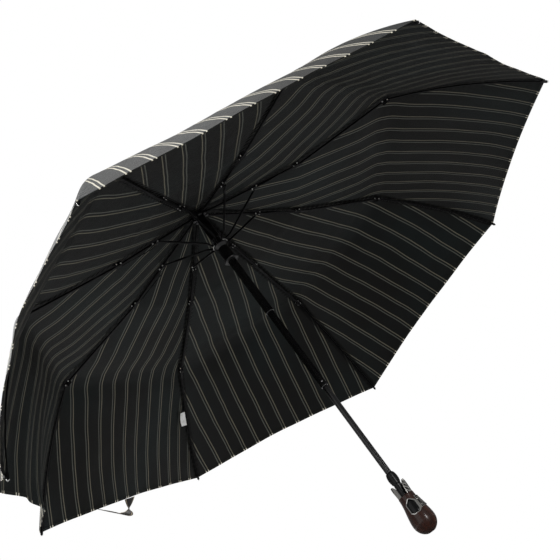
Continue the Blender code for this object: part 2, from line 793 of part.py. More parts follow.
def build():
    clear_scene()
    black_metal = make_material("black_rib_steel", (0.02, 0.02, 0.022), 0.35, 0.8)
    black_plastic = make_material("black_plastic", (0.015, 0.015, 0.016), 0.4)
    bright_steel = make_material("bright_steel", (0.7, 0.7, 0.7), 0.25, 1.0)
    chrome = make_material("chrome", (0.8, 0.8, 0.82), 0.12, 1.0)
    wood = make_material("lacquered_wood", (0.12, 0.035, 0.015), 0.25)
    fabric = make_material("canopy_cloth", (0.02, 0.02, 0.022), 0.7)
    label = make_material("label_cloth", (0.85, 0.85, 0.85), 0.8)
    build_ribs(black_metal)
    build_shaft(black_metal, black_plastic, bright_steel)
    build_handle(wood, chrome, black_plastic, bright_steel)
    build_cloth(fabric, label)


build()
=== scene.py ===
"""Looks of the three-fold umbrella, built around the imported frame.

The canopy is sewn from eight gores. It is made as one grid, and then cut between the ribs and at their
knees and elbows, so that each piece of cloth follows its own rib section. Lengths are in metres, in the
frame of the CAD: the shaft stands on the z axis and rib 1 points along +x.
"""

import json
import math

import bmesh
import bpy
import numpy as np
from mathutils import Matrix, Vector, noise


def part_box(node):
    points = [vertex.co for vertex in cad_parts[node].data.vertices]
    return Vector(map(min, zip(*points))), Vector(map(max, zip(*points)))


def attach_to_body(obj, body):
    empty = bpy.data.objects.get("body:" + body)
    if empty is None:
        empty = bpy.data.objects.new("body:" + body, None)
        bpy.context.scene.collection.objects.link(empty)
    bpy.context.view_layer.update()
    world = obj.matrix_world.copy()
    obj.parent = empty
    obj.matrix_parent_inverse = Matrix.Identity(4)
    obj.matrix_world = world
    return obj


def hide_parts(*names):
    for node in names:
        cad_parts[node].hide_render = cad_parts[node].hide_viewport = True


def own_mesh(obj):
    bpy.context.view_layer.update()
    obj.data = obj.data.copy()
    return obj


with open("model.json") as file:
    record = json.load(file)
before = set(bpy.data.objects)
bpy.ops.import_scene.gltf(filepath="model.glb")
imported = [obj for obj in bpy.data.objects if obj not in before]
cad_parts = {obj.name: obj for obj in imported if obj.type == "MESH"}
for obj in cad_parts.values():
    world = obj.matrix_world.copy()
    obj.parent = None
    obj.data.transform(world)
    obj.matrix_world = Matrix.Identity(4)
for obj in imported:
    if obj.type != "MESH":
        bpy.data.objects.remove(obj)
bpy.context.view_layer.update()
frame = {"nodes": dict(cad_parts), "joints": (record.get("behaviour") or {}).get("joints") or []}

MM = 0.001
RIBS = 8
RIB_STEP = math.tau / RIBS
JOINTS = {joint["name"]: joint for joint in frame["joints"]}
NODES = frame["nodes"]
PRESS_AXIS = JOINTS["button_press"]["axis"]
# The way the push button faces, as an angle about the shaft.
FACING = math.atan2(-PRESS_AXIS[1], -PRESS_AXIS[0])

# Canopy grid.
CLOTH = 0.35 * MM
GORE_COLUMNS = 56
COLUMNS = RIBS * GORE_COLUMNS
MAIN_ROWS, MIDDLE_ROWS, OUTER_ROWS = 26, 26, 38

# How far the inside of the cloth lies over the line through the rib's pivots.
OVER_CROWN = ((8.0 * MM, 2.9 * MM), (16.0 * MM, 2.5 * MM))
OVER_MAIN = 2.4 * MM
OVER_KNEE = 3.1 * MM
OVER_MIDDLE_END = 4.3 * MM
OVER_ELBOW = 5.9 * MM
OVER_OUTER = 2.6 * MM
OUTER_BOW = 9 * MM
OUTER_LIFT = 1.6 * MM

# Shape of a gore between its ribs. A hem shorter than EVEN_HEM is slack and waves.
HEM_FOLD = 3.6 * MM
HEM_CURVE = 7 * MM
HOLLOW = 4.5 * MM
EVEN_HEM = 375 * MM

# The two gores beside rib 8 hang loose below BELOW_ELBOW: one billows, the other has a pleat that goes
# in, turns at a share of its width and comes out.
BELOW_ELBOW = 0.6
BILLOW = 24 * MM
PLEAT = (-18 * MM, 14 * MM, 0.6)

# Share of their width meant for pieces of cloth when the umbrella is folded; the sections of dress_ribs
# carry them, but nothing here uses them.
GATHERED = 0.05
GATHERED_HEM = 0.075

# Woven stripes: thin lines in pairs.
STRIPE_PITCH = 26.8 * MM
STRIPE_SPREAD = 2.3 * MM
STRIPE_HALF = 0.62 * MM

# Half widths of the dark band along each seam, a painted shade that is wide on the inside, beside the ribs.
SEAM_INSIDE = 6.5 * MM
SEAM_OUTSIDE = 0.3 * MM

# Closure strap and care label.
STRAP_GORE = 5
STRAP_ENDS = (0.49, 0.68)
STRAP_WIDTH = 24 * MM
STRAP_THICK = 0.8 * MM
STRAP_DROP = (40 * MM, 24 * MM)
STRAP_TURN = (0.0, 0.4)
STRAP_STEPS = 80
HANGING = Vector((-0.25, -0.64, -0.72)).normalized()
LABEL_RIB = 5
LABEL = (26 * MM, 14 * MM, 0.28 * MM)
LABEL_PLACE = 0.37
LABEL_HANG = math.radians(8)

# Hardware.
RIVET_R = 1.1 * MM
RIVET_DOME = 0.65 * MM
PIN_STEP = 7 * MM
BAR_END = 2 * MM
WIRE_R = 0.65 * MM

# How far rivet heads and link wires sit beside the middle plane of their rib.
BESIDE_MAIN = 3.15 * MM
BESIDE_MIDDLE = 2.65 * MM
BESIDE_PIN = 2.0 * MM
BESIDE_LINK = 2.2 * MM
BESIDE_STRETCHER = 5.45 * MM
LINK_ASIDE = -3.9 * MM

# Shaft tubes.
TUBE_WALL = 0.85 * MM
FLUTES = 6


# ---------------------------------------------------------------- materials


class Shader:
    """A Principled material under construction."""

    def __init__(self, name):
        self.material = bpy.data.materials.new(name)
        self.material.use_nodes = True
        self.tree = self.material.node_tree
        self.surface = self.tree.nodes["Principled BSDF"]

    def put(self, socket, value):
        if isinstance(value, bpy.types.NodeSocket):
            self.tree.links.new(value, socket)
        elif isinstance(value, tuple) and len(value) == 3 and socket.type == "RGBA":
            socket.default_value = (*value, 1.0)
        else:
            socket.default_value = value

    def add(self, kind, inputs=None, output=0, **settings):
        node = self.tree.nodes.new(kind)
        for name, value in settings.items():
            setattr(node, name, value)
        for name, value in (inputs or {}).items():
            self.put(node.inputs[name], value)
        return node.outputs[output]

    def math(self, operation, *values):
        return self.add("ShaderNodeMath", dict(enumerate(values)), operation=operation)

    def plus(self, first, second):
        return self.math("ADD", first, second)

    def times(self, first, second):
        return self.math("MULTIPLY", first, second)

    def inverse(self, value):
        return self.math("SUBTRACT", 1.0, value)

    def sine(self, value, period=None):
        return self.math("SINE", self.times(value, math.tau / period) if period else value)

    def fade(self, value, low, high):
        """0 below low and 1 above high, smoothly."""
        inputs = {"Value": value, "From Min": low, "From Max": high}
        return self.add("ShaderNodeMapRange", inputs, interpolation_type="SMOOTHSTEP")

    def range(self, value, low, high):
        inputs = {"Value": value, "To Min": low, "To Max": high}
        return self.add("ShaderNodeMapRange", inputs)

    def blend(self, share, first, second):
        """A mix of two colours; the colour sockets of the node have no names of their own."""
        return self.add("ShaderNodeMix", {0: share, 6: first, 7: second}, 2, data_type="RGBA")

    def split(self, vector):
        return self.add("ShaderNodeSeparateXYZ", {0: vector}).node.outputs

    def uv(self, name):
        return self.split(self.add("ShaderNodeUVMap", uv_map=name))

    def place(self, scale=(1, 1, 1)):
        """Object coordinates, stretched."""
        coordinates = self.add("ShaderNodeTexCoord", output="Object")
        return self.add("ShaderNodeMapping", {"Vector": coordinates, "Scale": scale})

    def pointiness(self):
        return self.add("ShaderNodeNewGeometry", output="Pointiness")

    def noise(self, scale, detail, vector=None, rough=0.55):
        inputs = {"Scale": scale, "Detail": detail, "Roughness": rough}
        inputs["Vector"] = vector if vector is not None else self.place()
        return self.add("ShaderNodeTexNoise", inputs)

    def bump(self, height, distance, strength, below=None):
        inputs = {"Height": height, "Distance": distance, "Strength": strength}
        if below is not None:
            inputs["Normal"] = below
        return self.add("ShaderNodeBump", inputs)

    def finish(self, **values):
        for name, value in values.items():
            self.put(self.surface.inputs[name.replace("_", " ")], value)
        return self.material


def tinted(colour, *by):
    """A colour times one factor, or times one for each channel."""
    return tuple(channel * factor for channel, factor in zip(colour, by * 3 if len(by) == 1 else by))


def near(shader, value, centre, half, soft):
    """1 within half of centre, falling to 0 over soft."""
    off = shader.math("ABSOLUTE", shader.math("SUBTRACT", value, centre))
    return shader.inverse(shader.fade(off, half, half + soft))


def canopy_cloth(name, ground, line_colours, seam_half, specular, roughness, sheen):
    """Satin with thin woven lines in pairs, painted shade and puckers along the seams, stitches at the hem
    and painted bluish sheen.
    """
    s = Shader(name)
    across, along, _ = s.uv("weave")
    to_seam, to_hem, _ = s.uv("edges")
    drift = s.math("SUBTRACT", s.noise(11.0, 2.0), 0.5)
    shifted = s.plus(across, s.times(drift, 6 * MM))
    from_pair = s.math("PINGPONG", shifted, STRIPE_PITCH / 2)
    line = near(s, from_pair, STRIPE_SPREAD, STRIPE_HALF, 0.3 * MM)
    side = s.math("GREATER_THAN", s.sine(shifted, STRIPE_PITCH), 0.0)
    yarn = s.noise(900.0, 2.0)
    broken = s.range(yarn, 0.55, 1.25)
    # Painted bluish sheen: in cloudy patches the ground is lighter and bluer, standing in for light on the
    # satin.
    cloudy = s.fade(s.noise(7.0, 4.0), 0.35, 0.75)
    base = s.blend(cloudy, tinted(ground, 0.85), tinted(ground, 1.1, 1.55, 1.7))
    colour = s.blend(s.times(line, broken), base, s.blend(side, *line_colours))
    stitch_row = near(s, to_hem, HEM_FOLD - 0.6 * MM, 0.3 * MM, 0.15 * MM)
    stitch_gap = s.math("GREATER_THAN", s.math("FRACT", s.times(across, 1 / (2.6 * MM))), 0.3)
    stitch = s.times(stitch_row, stitch_gap)
    # Painted shade: within seam_half of each seam the cloth is darkened, standing in for the shadow beside
    # the rib.
    seam_shade = s.inverse(s.fade(to_seam, seam_half, seam_half + 1.2 * MM))
    colour = s.blend(s.times(seam_shade, 0.85), colour, tinted(ground, 0.25))
    colour = s.blend(s.times(stitch, 0.6), colour, tinted(ground, 2.2))
    weave = s.times(s.sine(across, 0.42 * MM), s.sine(along, 0.5 * MM))
    pucker = s.times(s.sine(along, 9 * MM), s.inverse(s.fade(to_seam, 1 * MM, 12 * MM)))
    creases = s.noise(28.0, 5.0, rough=0.6)
    normal = s.bump(weave, 0.05 * MM, 0.35)
    normal = s.bump(pucker, 0.5 * MM, 0.6, normal)
    normal = s.bump(creases, 1.5 * MM, 0.5, normal)
    normal = s.bump(stitch, 0.2 * MM, 0.8, normal)
    uneven = s.range(yarn, roughness - 0.05, roughness + 0.08)
    rough = s.math("SUBTRACT", uneven, s.times(line, 0.05))
    return s.finish(
        Base_Color=colour,
        Roughness=rough,
        Normal=normal,
        Specular_IOR_Level=specular,
        Sheen_Weight=sheen,
        Sheen_Roughness=0.4,
    )


def painted_metal(name, colour, roughness, specular, worn=0.3, relief=0.15):
    """Black enamel that is thinner on edges, with fine orange peel."""
    s = Shader(name)
    grain = s.noise(420.0, 2.0)
    wide = s.noise(60.0, 4.0)
    rubbed = s.times(s.fade(s.pointiness(), 0.52, 0.62), s.fade(wide, 0.45, 0.7))
    tone = s.blend(wide, tinted(colour, 0.7), tinted(colour, 1.4))
    tone = s.blend(s.times(rubbed, worn), tone, (0.1, 0.1, 0.1))
    normal = s.bump(grain, 0.02 * MM, relief)
    rough = s.range(wide, roughness - 0.03, roughness + 0.06)
    return s.finish(Base_Color=tone, Roughness=rough, Normal=normal, Specular_IOR_Level=specular)


def moulded_plastic(name, colour, roughness):
    s = Shader(name)
    grain = s.noise(700.0, 4.0)
    wide = s.noise(45.0, 3.0)
    tone = s.blend(wide, tinted(colour, 0.75), tinted(colour, 1.3))
    normal = s.bump(grain, 0.01 * MM, 0.08)
    rough = s.range(wide, roughness - 0.03, roughness + 0.05)
    return s.finish(Base_Color=tone, Roughness=rough, Normal=normal, Specular_IOR_Level=0.35)


def bright_metal(name, colour, roughness, hollow_darkening):
    """Polished plating with fine scratches, darker and duller in the hollows."""
    s = Shader(name)
    scratches = s.noise(1.0, 4.0, s.place((2600, 2600, 260)))
    wide = s.noise(120.0, 4.0)
    # Hollow places are made darker and rougher, in proportion to the last argument.
    dull = s.times(s.inverse(s.fade(s.pointiness(), 0.4, 0.5)), hollow_darkening)
    tone = s.blend(dull, colour, (0.09, 0.085, 0.08))
    rough = s.plus(s.range(wide, roughness * 0.7, roughness * 1.6), s.times(dull, 0.2))
    normal = s.bump(scratches, 0.015 * MM, 0.3)
    return s.finish(Base_Color=tone, Metallic=1.0, Roughness=rough, Normal=normal)


def enamelled_relief(name):
    """Chrome relief with black enamel left in its hollows."""
    s = Shader(name)
    height, _, _ = s.uv("relief")
    wide = s.noise(300.0, 3.0)
    scratches = s.noise(1.0, 4.0, s.place((2600, 2600, 260)))
    bare = s.fade(height, 0.3, 0.55)
    tone = s.blend(bare, (0.004, 0.004, 0.004), (0.72, 0.7, 0.66))
    rough = s.range(wide, 0.14, 0.3)
    normal = s.bump(scratches, 0.015 * MM, 0.3)
    return s.finish(Base_Color=tone, Metallic=bare, Roughness=rough, Normal=normal)


def lacquered_wood(name):
    """Dark red-brown turned wood, with grain along the handle under a thick gloss coat."""
    s = Shader(name)
    wander = s.noise(40.0, 2.0)
    grain = s.noise(1.0, 6.0, s.place((240, 240, 22)), 0.62)
    pores = s.noise(1.0, 3.0, s.place((1500, 1500, 120)))
    rings = s.sine(s.plus(s.times(grain, 26.0), s.times(wander, 6.0)))
    tone = s.blend(s.fade(grain, 0.35, 0.68), (0.022, 0.005, 0.0019), (0.068, 0.015, 0.005))
    tone = s.blend(s.times(s.range(rings, 0.0, 1.0), 0.12), tone, (0.09, 0.024, 0.008))
    dark_pore = s.times(s.fade(pores, 0.56, 0.66), 0.45)
    tone = s.blend(dark_pore, tone, (0.006, 0.002, 0.001))
    normal = s.bump(grain, 0.02 * MM, 0.12)
    return s.finish(
        Base_Color=tone,
        Roughness=0.5,
        Specular_IOR_Level=0.2,
        Normal=normal,
        Coat_Weight=1.0,
        Coat_Roughness=s.range(wander, 0.12, 0.18),
        Coat_IOR=1.45,
    )


def woven_tape(name):
    """White satin label tape with woven edges."""
    s = Shader(name)
    threads = s.add("ShaderNodeTexWave", {"Vector": s.place(), "Scale": 900.0, "Distortion": 0.4})
    soil = s.noise(160.0, 3.0)
    tone = s.blend(s.fade(soil, 0.4, 0.8), (0.8, 0.8, 0.79), (0.6, 0.6, 0.58))
    normal = s.bump(threads, 0.05 * MM, 0.5)
    return s.finish(Base_Color=tone, Roughness=0.75, Normal=normal, Sheen_Weight=0.3)


def make_materials():
    return {
        "cloth_inside": canopy_cloth(
            "cloth_inside",
            (0.0075, 0.0075, 0.0068),
            ((0.15, 0.14, 0.105), (0.1, 0.104, 0.09)),
            SEAM_INSIDE,
            specular=0.12,
            roughness=0.5,
            sheen=0.02,
        ),
        "cloth_outside": canopy_cloth(
            "cloth_outside",
            (0.014, 0.0135, 0.012),
            ((0.85, 0.8, 0.66), (0.8, 0.76, 0.63)),
            SEAM_OUTSIDE,
            specular=0.07,
            roughness=0.45,
            sheen=0.0,
        ),
        "rib_enamel": painted_metal("rib_enamel", (0.0016, 0.0016, 0.0018), 0.4, 0.08),
        "tube_enamel": painted_metal("tube_enamel", (0.002, 0.002, 0.0022), 0.12, 0.8, 0.0, 0.0),
        "plastic": moulded_plastic("plastic", (0.0018, 0.0018, 0.002), 0.3),
        "button_plastic": moulded_plastic("button_plastic", (0.004, 0.004, 0.0045), 0.2),
        "steel": bright_metal("steel", (0.9, 0.9, 0.88), 0.42, 0.0),
        "chrome": bright_metal("chrome", (0.72, 0.71, 0.68), 0.1, 0.8),
        "ornament": enamelled_relief("ornament"),
        "wood": lacquered_wood("wood"),
        "tape": woven_tape("tape"),
        "strap": strap_cloth(),
    }


# ---------------------------------------------------------------- frame geometry


def polar(radius, angle, height):
    return Vector((radius * math.cos(angle), radius * math.sin(angle), height))


def unit(vector):
    return vector / np.linalg.norm(vector)


def rib_plane(point):
    return np.array([math.hypot(point[0], point[1]), point[2]])


def pivot(kind, rib):
    return rib_plane(JOINTS[f"{kind}_hinge_{rib + 1}"]["pos_m"])


def far_end(kind, rib, start, inset):
    """The end of a bar seen from its pivot, in the rib plane, less what the end is rounded by."""
    ends = [rib_plane(v.co) for v in NODES[f"{kind}_{rib + 1}"].data.vertices]
    steps = [end - start for end in ends]
    reach = max(np.linalg.norm(step) for step in steps)
    tips = [step for step in steps if np.linalg.norm(step) > reach - 2 * MM]
    return start + unit(np.mean(tips, axis=0)) * (reach - inset)


def rib_points(rib):
    hub, knee, elbow = (pivot(kind, rib) for kind in ("main", "knee", "elbow"))
    return hub, knee, elbow, far_end("outer_rib", rib, elbow, 0.0)


def across_rib(rib):
    angle = rib * RIB_STEP
    return Vector((-math.sin(angle), math.cos(angle), 0))


def in_rib(rib, point, aside=0.0):
    """A (distance, height) point of a rib plane in space, moved aside along the tangent."""
    return polar(point[0], rib * RIB_STEP, point[1]) + across_rib(rib) * aside


# ---------------------------------------------------------------- canopy


def rib_line(rib):
    """Inside of the cloth along a rib as control points, and the places of the knee and the elbow in it."""
    hub, knee, elbow, tip = rib_points(rib)
    line = [np.array([r, hub[1] + z]) for r, z in OVER_CROWN]
    line += [hub + (knee - hub) * share + (0, OVER_MAIN) for share in (0.3, 0.65)]
    line.append(knee + (0, OVER_KNEE))
    at_knee = len(line) - 1
    for share in (0.35, 0.7):
        line.append(knee + (elbow - knee) * share + (0, OVER_KNEE + (OVER_MIDDLE_END - OVER_KNEE) * share))
    inner, outer = elbow - knee, tip - elbow
    lean = (math.atan2(inner[1], inner[0]) + math.atan2(outer[1], outer[0])) / 2
    line.append(elbow + OVER_ELBOW * np.array([-math.sin(lean), math.cos(lean)]))
    at_elbow = len(line) - 1
    along = unit(outer)
    up = np.array([-along[1], along[0]])
    for share in (0.16, 0.34, 0.52, 0.7, 0.88, 0.985):
        lift = 4 * OUTER_BOW * share * (1 - share) + OUTER_LIFT * (1 - share) + OVER_OUTER
        line.append(elbow + outer * share + up * lift)
    return np.array(line), at_knee, at_elbow


class Curve:
    """A smooth line through control points, measured from its start."""

    def __init__(self, points):
        self.points = points
        self.at = np.concatenate([[0], np.cumsum(np.linalg.norm(np.diff(points, axis=0), axis=1))])
        self.slopes = np.gradient(points, self.at, axis=0)

    def __call__(self, distance):
        i = np.clip(np.searchsorted(self.at, distance, side="right") - 1, 0, len(self.at) - 2)
        span = (self.at[i + 1] - self.at[i])[..., None]
        t = ((distance - self.at[i]) / span[..., 0])[..., None]
        first, second = self.points[i], self.points[i + 1]
        out, into = self.slopes[i] * span, self.slopes[i + 1] * span
        return (
            first * (2 * t**3 - 3 * t**2 + 1)
            + out * (t**3 - 2 * t**2 + t)
            + second * (3 * t**2 - 2 * t**3)
            + into * (t**3 - t**2)
        )


class Canopy:
    """The sewn cloth as a closed grid: rows from crown to hem, columns round the shaft from rib 1."""

    def __init__(self):
        lines = [rib_line(rib) for rib in range(RIBS)]
        self.curves = [Curve(line) for line, _, _ in lines]
        _, at_knee, at_elbow = lines[0]
        self.rows = self.row_shares(at_knee, at_elbow)
        self.knee_row, self.elbow_row = MAIN_ROWS, MAIN_ROWS + MIDDLE_ROWS
        self.build()

    def row_shares(self, at_knee, at_elbow):
        """Distance along every rib line for each row: equal rows of each section end at the same pivot."""
        rows = []
        for curve in self.curves:
            knee, elbow, hem = curve.at[at_knee], curve.at[at_elbow], curve.at[-1]
            main = np.linspace(0, knee, MAIN_ROWS, endpoint=False)
            middle = np.linspace(knee, elbow, MIDDLE_ROWS, endpoint=False)
            outer = np.linspace(elbow, hem - HEM_FOLD, OUTER_ROWS)
            rows.append(np.concatenate([main, middle, outer, [hem]]))
        return rows

    def build(self):
        count = len(self.rows[0])
        self.points = np.zeros((count, COLUMNS, 3))
        self.across = np.zeros((count, RIBS, GORE_COLUMNS + 1))
        self.along = np.zeros((count, COLUMNS))
        self.to_seam = np.zeros((count, RIBS, GORE_COLUMNS + 1))
        for gore in range(RIBS):
            for column in range(GORE_COLUMNS + 1):
                share = column / GORE_COLUMNS
                base, chord, distance = self.between(gore, share)
                self.across[:, gore, column] = (share - 0.5) * chord
                self.to_seam[:, gore, column] = min(share, 1 - share) * chord
                if column < GORE_COLUMNS:
                    self.points[:, gore * GORE_COLUMNS + column] = base
                    self.along[:, gore * GORE_COLUMNS + column] = distance
        self.points += self.grid_normals() * self.relief()[..., None]
        self.normals = self.grid_normals()

    def between(self, gore, share):
        """Straight from rib to rib, with the hem cut in a shallow arc."""
        middle = 4 * share * (1 - share)
        ends, distances = [], []
        for rib in (gore, gore + 1):
            curve, rows = self.curves[rib % RIBS], self.rows[rib % RIBS]
            distance = rows - HEM_CURVE * middle * (rows / rows[-1]) ** 4
            flat = curve(distance)
            angle = rib * RIB_STEP
            radius, height = flat.T
            ends.append(np.stack([radius * math.cos(angle), radius * math.sin(angle), height], axis=1))
            distances.append(distance)
        chord = np.linalg.norm(ends[1] - ends[0], axis=1)
        base, distance = (pair[0] * (1 - share) + pair[1] * share for pair in (ends, distances))
        return base, chord, distance

    def grid_normals(self):
        p = self.points
        round_shaft = np.roll(p, -1, axis=1) - np.roll(p, 1, axis=1)
        outwards = np.gradient(p, axis=0)
        normals = np.cross(outwards, round_shaft)
        normals /= np.linalg.norm(normals, axis=2, keepdims=True)
        return normals

    def relief(self):
        """How far the cloth stands off the straight gore: a hollow, a slack hem and fold creases."""
        height = np.zeros(self.points.shape[:2])
        for column in range(COLUMNS):
            gore, share = divmod(column, GORE_COLUMNS)
            share /= GORE_COLUMNS
            down = self.rows[gore] / self.rows[gore][-1]
            free = math.sin(math.pi * share)
            hanging = np.clip((down - BELOW_ELBOW) / (1 - BELOW_ELBOW), 0, 1)
            off = -HOLLOW * 4 * share * (1 - share) * np.sin(math.pi * np.minimum(1, down / 0.95))
            off += self.hem_waves(gore, share, down) * free**0.7
            off += self.billow(gore, share) * hanging**1.4
            off += self.creases(gore, share, down) * free**0.5
            off += self.unevenness(column) * free**0.5
            height[:, column] = off
        return height

    def hem_waves(self, gore, share, down):
        first, last = (self.points[-1, rib % RIBS * GORE_COLUMNS] for rib in (gore, gore + 1))
        hem = np.linalg.norm(last - first)
        slack = max(0.0, EVEN_HEM - hem)
        depth = 0.9 * MM + 0.16 * slack
        phase = 1.7 * gore
        wave = np.sin(math.tau * 1.5 * share + phase + 2.2 * down)
        small = np.sin(math.tau * 4.0 * share + 2.3 * phase - 3.0 * down)
        return (depth * wave + 0.35 * depth * small) * down**3

    def billow(self, gore, share):
        """How far the slack hem of a gore beside rib 8 stands off the line from tip to tip."""
        inwards, outwards, turn = PLEAT
        if gore == 7:
            return BILLOW * math.sin(math.pi * share**0.75)
        if gore == 6 and share < turn:
            return inwards * math.sin(math.pi * share / turn) ** 2
        if gore == 6:
            return outwards * math.sin(math.pi * (share - turn) / (1 - turn))
        return 0.0

    def creases(self, gore, share, down):
        """Marks left where the cloth is folded at the elbows and knees and along the middle of the gore."""
        curve = self.rows[gore]
        elbow, knee = (curve[row] / curve[-1] for row in (self.elbow_row, self.knee_row))
        wander = 0.006 * math.sin(9 * share + gore)
        marks = -1.1 * MM * np.exp(-(((down - elbow - wander) / 0.012) ** 2))
        marks -= 0.7 * MM * np.exp(-(((down - knee + wander) / 0.010) ** 2))
        marks += 0.8 * MM * np.exp(-(((share - 0.5) / 0.03) ** 2)) * np.clip(down - 0.3, 0, 1)
        return marks

    def unevenness(self, column):
        values = []
        for point in self.points[:, column]:
            wide = noise.noise(Vector(point) * 9.0)
            fine = noise.noise(Vector(point) * 26.0 + Vector((3, 1, 7)))
            values.append(1.6 * MM * wide + 0.7 * MM * fine)
        return np.array(values)


def cloth_piece(name, canopy, rib, first, last, materials):
    """The cloth over one rib section, out to the middle of the gores beside it, as a closed thin sheet."""
    half = GORE_COLUMNS // 2
    columns = [(rib * GORE_COLUMNS + c) % COLUMNS for c in range(-half, half + 1)]
    hem = last == len(canopy.rows[0]) - 1
    points, normals = canopy.points[first : last + 1, columns], canopy.normals[first : last + 1, columns]
    outside = points + normals * CLOTH
    layers = [(p, n, first + i) for i, (p, n) in enumerate(zip(outside, normals))]
    if hem:
        edge = points[-1] - points[-2]
        edge /= np.linalg.norm(edge, axis=1, keepdims=True)
        layers.append((points[-1] + edge * 0.4 * MM - normals[-1] * 0.2 * MM, edge, last))
        layers.append((points[-1] - normals[-1] * 0.75 * MM, -normals[-1], last))
        layers.append((points[-2] - normals[-2] * 0.75 * MM, -normals[-2], last - 1))
    folded = len(layers) - 1
    inside_rows = range(len(points) - (2 if hem else 1), -1, -1)
    layers += [(points[i], -normals[i], first + i) for i in inside_rows]
    return sheet_object(name, canopy, rib, layers, folded, materials)


def sheet_object(name, canopy, rib, layers, folded, materials):
    """A closed sheet from layers of points, normals and row; those from folded on are its inside."""
    width = GORE_COLUMNS + 1
    half = GORE_COLUMNS // 2
    count = len(layers)
    points = np.concatenate([layer[0] for layer in layers])
    normals = np.concatenate([layer[1] for layer in layers])
    inside, corners = [], []
    for i in range(count):
        j = (i + 1) % count
        for c in range(width - 1):
            corners.append(((i, c), (j, c), (j, c + 1), (i, c + 1)))
            inside.append(i >= folded and j != 0)
    for c in (0, width - 1):
        for i, j in zip(range(folded), range(count - 1, 0, -1)):
            if j - i < 2:
                break
            quad = (i, i + 1, j - 1, j) if j - 1 > i + 1 else (i, i + 1, j)
            corners.append(tuple((layer, c) for layer in (quad[::-1] if c == 0 else quad)))
            inside.append(False)
    mesh = bpy.data.meshes.new(name)
    faces = [tuple(layer * width + c for layer, c in face) for face in corners]
    mesh.from_pydata([tuple(p) for p in points], [], faces)
    weave, edges = mesh.uv_layers.new(name="weave"), mesh.uv_layers.new(name="edges")
    at = 0
    for face in corners:
        gore_side = -1 if min(c for _, c in face) < half else 0
        gore = (rib + gore_side) % RIBS
        for layer, c in face:
            row = layers[layer][2]
            column = min(max(c - half - gore_side * GORE_COLUMNS, 0), GORE_COLUMNS)
            place = gore * GORE_COLUMNS + min(column, GORE_COLUMNS - 1)
            weave.data[at].uv = (canopy.across[row, gore, column], canopy.along[row, place])
            hem_row = canopy.rows[gore]
            edges.data[at].uv = (canopy.to_seam[row, gore, column], hem_row[-1] - hem_row[row])
            at += 1
    mesh.materials.append(materials["cloth_outside"])
    mesh.materials.append(materials["cloth_inside"])
    mesh.polygons.foreach_set("material_index", [int(flag) for flag in inside])
    mesh.polygons.foreach_set("use_smooth", [True] * len(mesh.polygons))
    mesh.normals_split_custom_set_from_vertices([tuple(n) for n in normals])
    return added(name, mesh)


def dress_ribs(materials):
    canopy = Canopy()
    last = len(canopy.rows[0]) - 1
    sections = (
        ("cloth_main", "main_rib", 0, canopy.knee_row, GATHERED),
        ("cloth_middle", "middle_rib", canopy.knee_row, canopy.elbow_row, GATHERED),
        ("cloth_outer", "outer_rib", canopy.elbow_row, last, GATHERED_HEM),
    )
    for rib in range(RIBS):
        for label, body, first, end, keep in sections:
            cloth = cloth_piece(f"{label}_{rib + 1}", canopy, rib, first, end, materials)
            shown = f"canopy_panel_{rib + 1}" if label == "cloth_main" else None
            attach(cloth, f"{body}_{rib + 1}", shown)
            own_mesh(cloth)
    return canopy


# ---------------------------------------------------------------- mesh helpers


def attach(obj, body, node=None):
    """Rides the piece on a body, in place of a CAD node if one is named."""
    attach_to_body(obj, body)
    if node:
        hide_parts(node)


def added(name, data):
    obj = bpy.data.objects.new(name, data)
    bpy.context.scene.collection.objects.link(obj)
    return obj


def paint_uv(obj, name, values):
    """A UV layer that takes its values from the points."""
    layer = obj.data.uv_layers.new(name=name)
    for loop in obj.data.loops:
        layer.data[loop.index].uv = values[loop.vertex_index]


def mesh_object(name, points, faces, material, smooth=40):
    mesh = bpy.data.meshes.new(name)
    mesh.from_pydata([tuple(p) for p in points], [], faces)
    bm = bmesh.new()
    bm.from_mesh(mesh)
    bmesh.ops.recalc_face_normals(bm, faces=bm.faces)
    bm.to_mesh(mesh)
    bm.free()
    mesh.polygons.foreach_set("use_smooth", [True] * len(mesh.polygons))
    mesh.set_sharp_from_angle(angle=math.radians(smooth))
    mesh.materials.append(material)
    return added(name, mesh)


def piece(name, shape, material, body, node=None, smooth=40):
    obj = mesh_object(name, *shape, material, smooth)
    attach(obj, body, node)
    return obj


def merge(shapes):
    """Several (points, faces) shapes as one."""
    points, faces = [], []
    for more_points, more_faces in shapes:
        base = len(points)
        points += list(more_points)
        faces += [tuple(base + i for i in face) for face in more_faces]
    return points, faces


def moved(shape, matrix):
    return [matrix @ Vector(p) for p in shape[0]], shape[1]


def lathe(profile, segments, shape=None):
    """Revolves (radius, height) points about z; shape may change the radius by height and angle."""
    points, rows, faces = [], [], []
    for radius, height in profile:
        if radius < 1e-7:
            rows.append([len(points)] * segments)
            points.append(Vector((0, 0, height)))
            continue
        row = []
        for i in range(segments):
            angle = math.tau * i / segments
            r = shape(radius, height, angle) if shape else radius
            row.append(len(points))
            points.append(polar(r, angle, height))
        rows.append(row)
    closed = profile[0][0] > 1e-7 and profile[-1][0] > 1e-7
    pairs = list(zip(rows, rows[1:] + rows[:1])) if closed else list(zip(rows, rows[1:]))
    for low, high in pairs:
        for i in range(segments):
            j = (i + 1) % segments
            face = tuple(dict.fromkeys((low[i], low[j], high[j], high[i])))
            if len(face) > 2:
                faces.append(face)
    return points, faces


def stack(rings, closed):
    """Faces between rings of equally many points; closed joins the last ring to the first."""
    count = len(rings[0])
    points = [point for row in rings for point in row]
    faces = []
    for i in range(len(rings) if closed else len(rings) - 1):
        j = (i + 1) % len(rings)
        for k in range(count):
            m = (k + 1) % count
            faces.append((i * count + k, i * count + m, j * count + m, j * count + k))
    if not closed:
        faces += [tuple(range(count)), tuple(range((len(rings) - 1) * count, len(rings) * count))]
    return points, faces


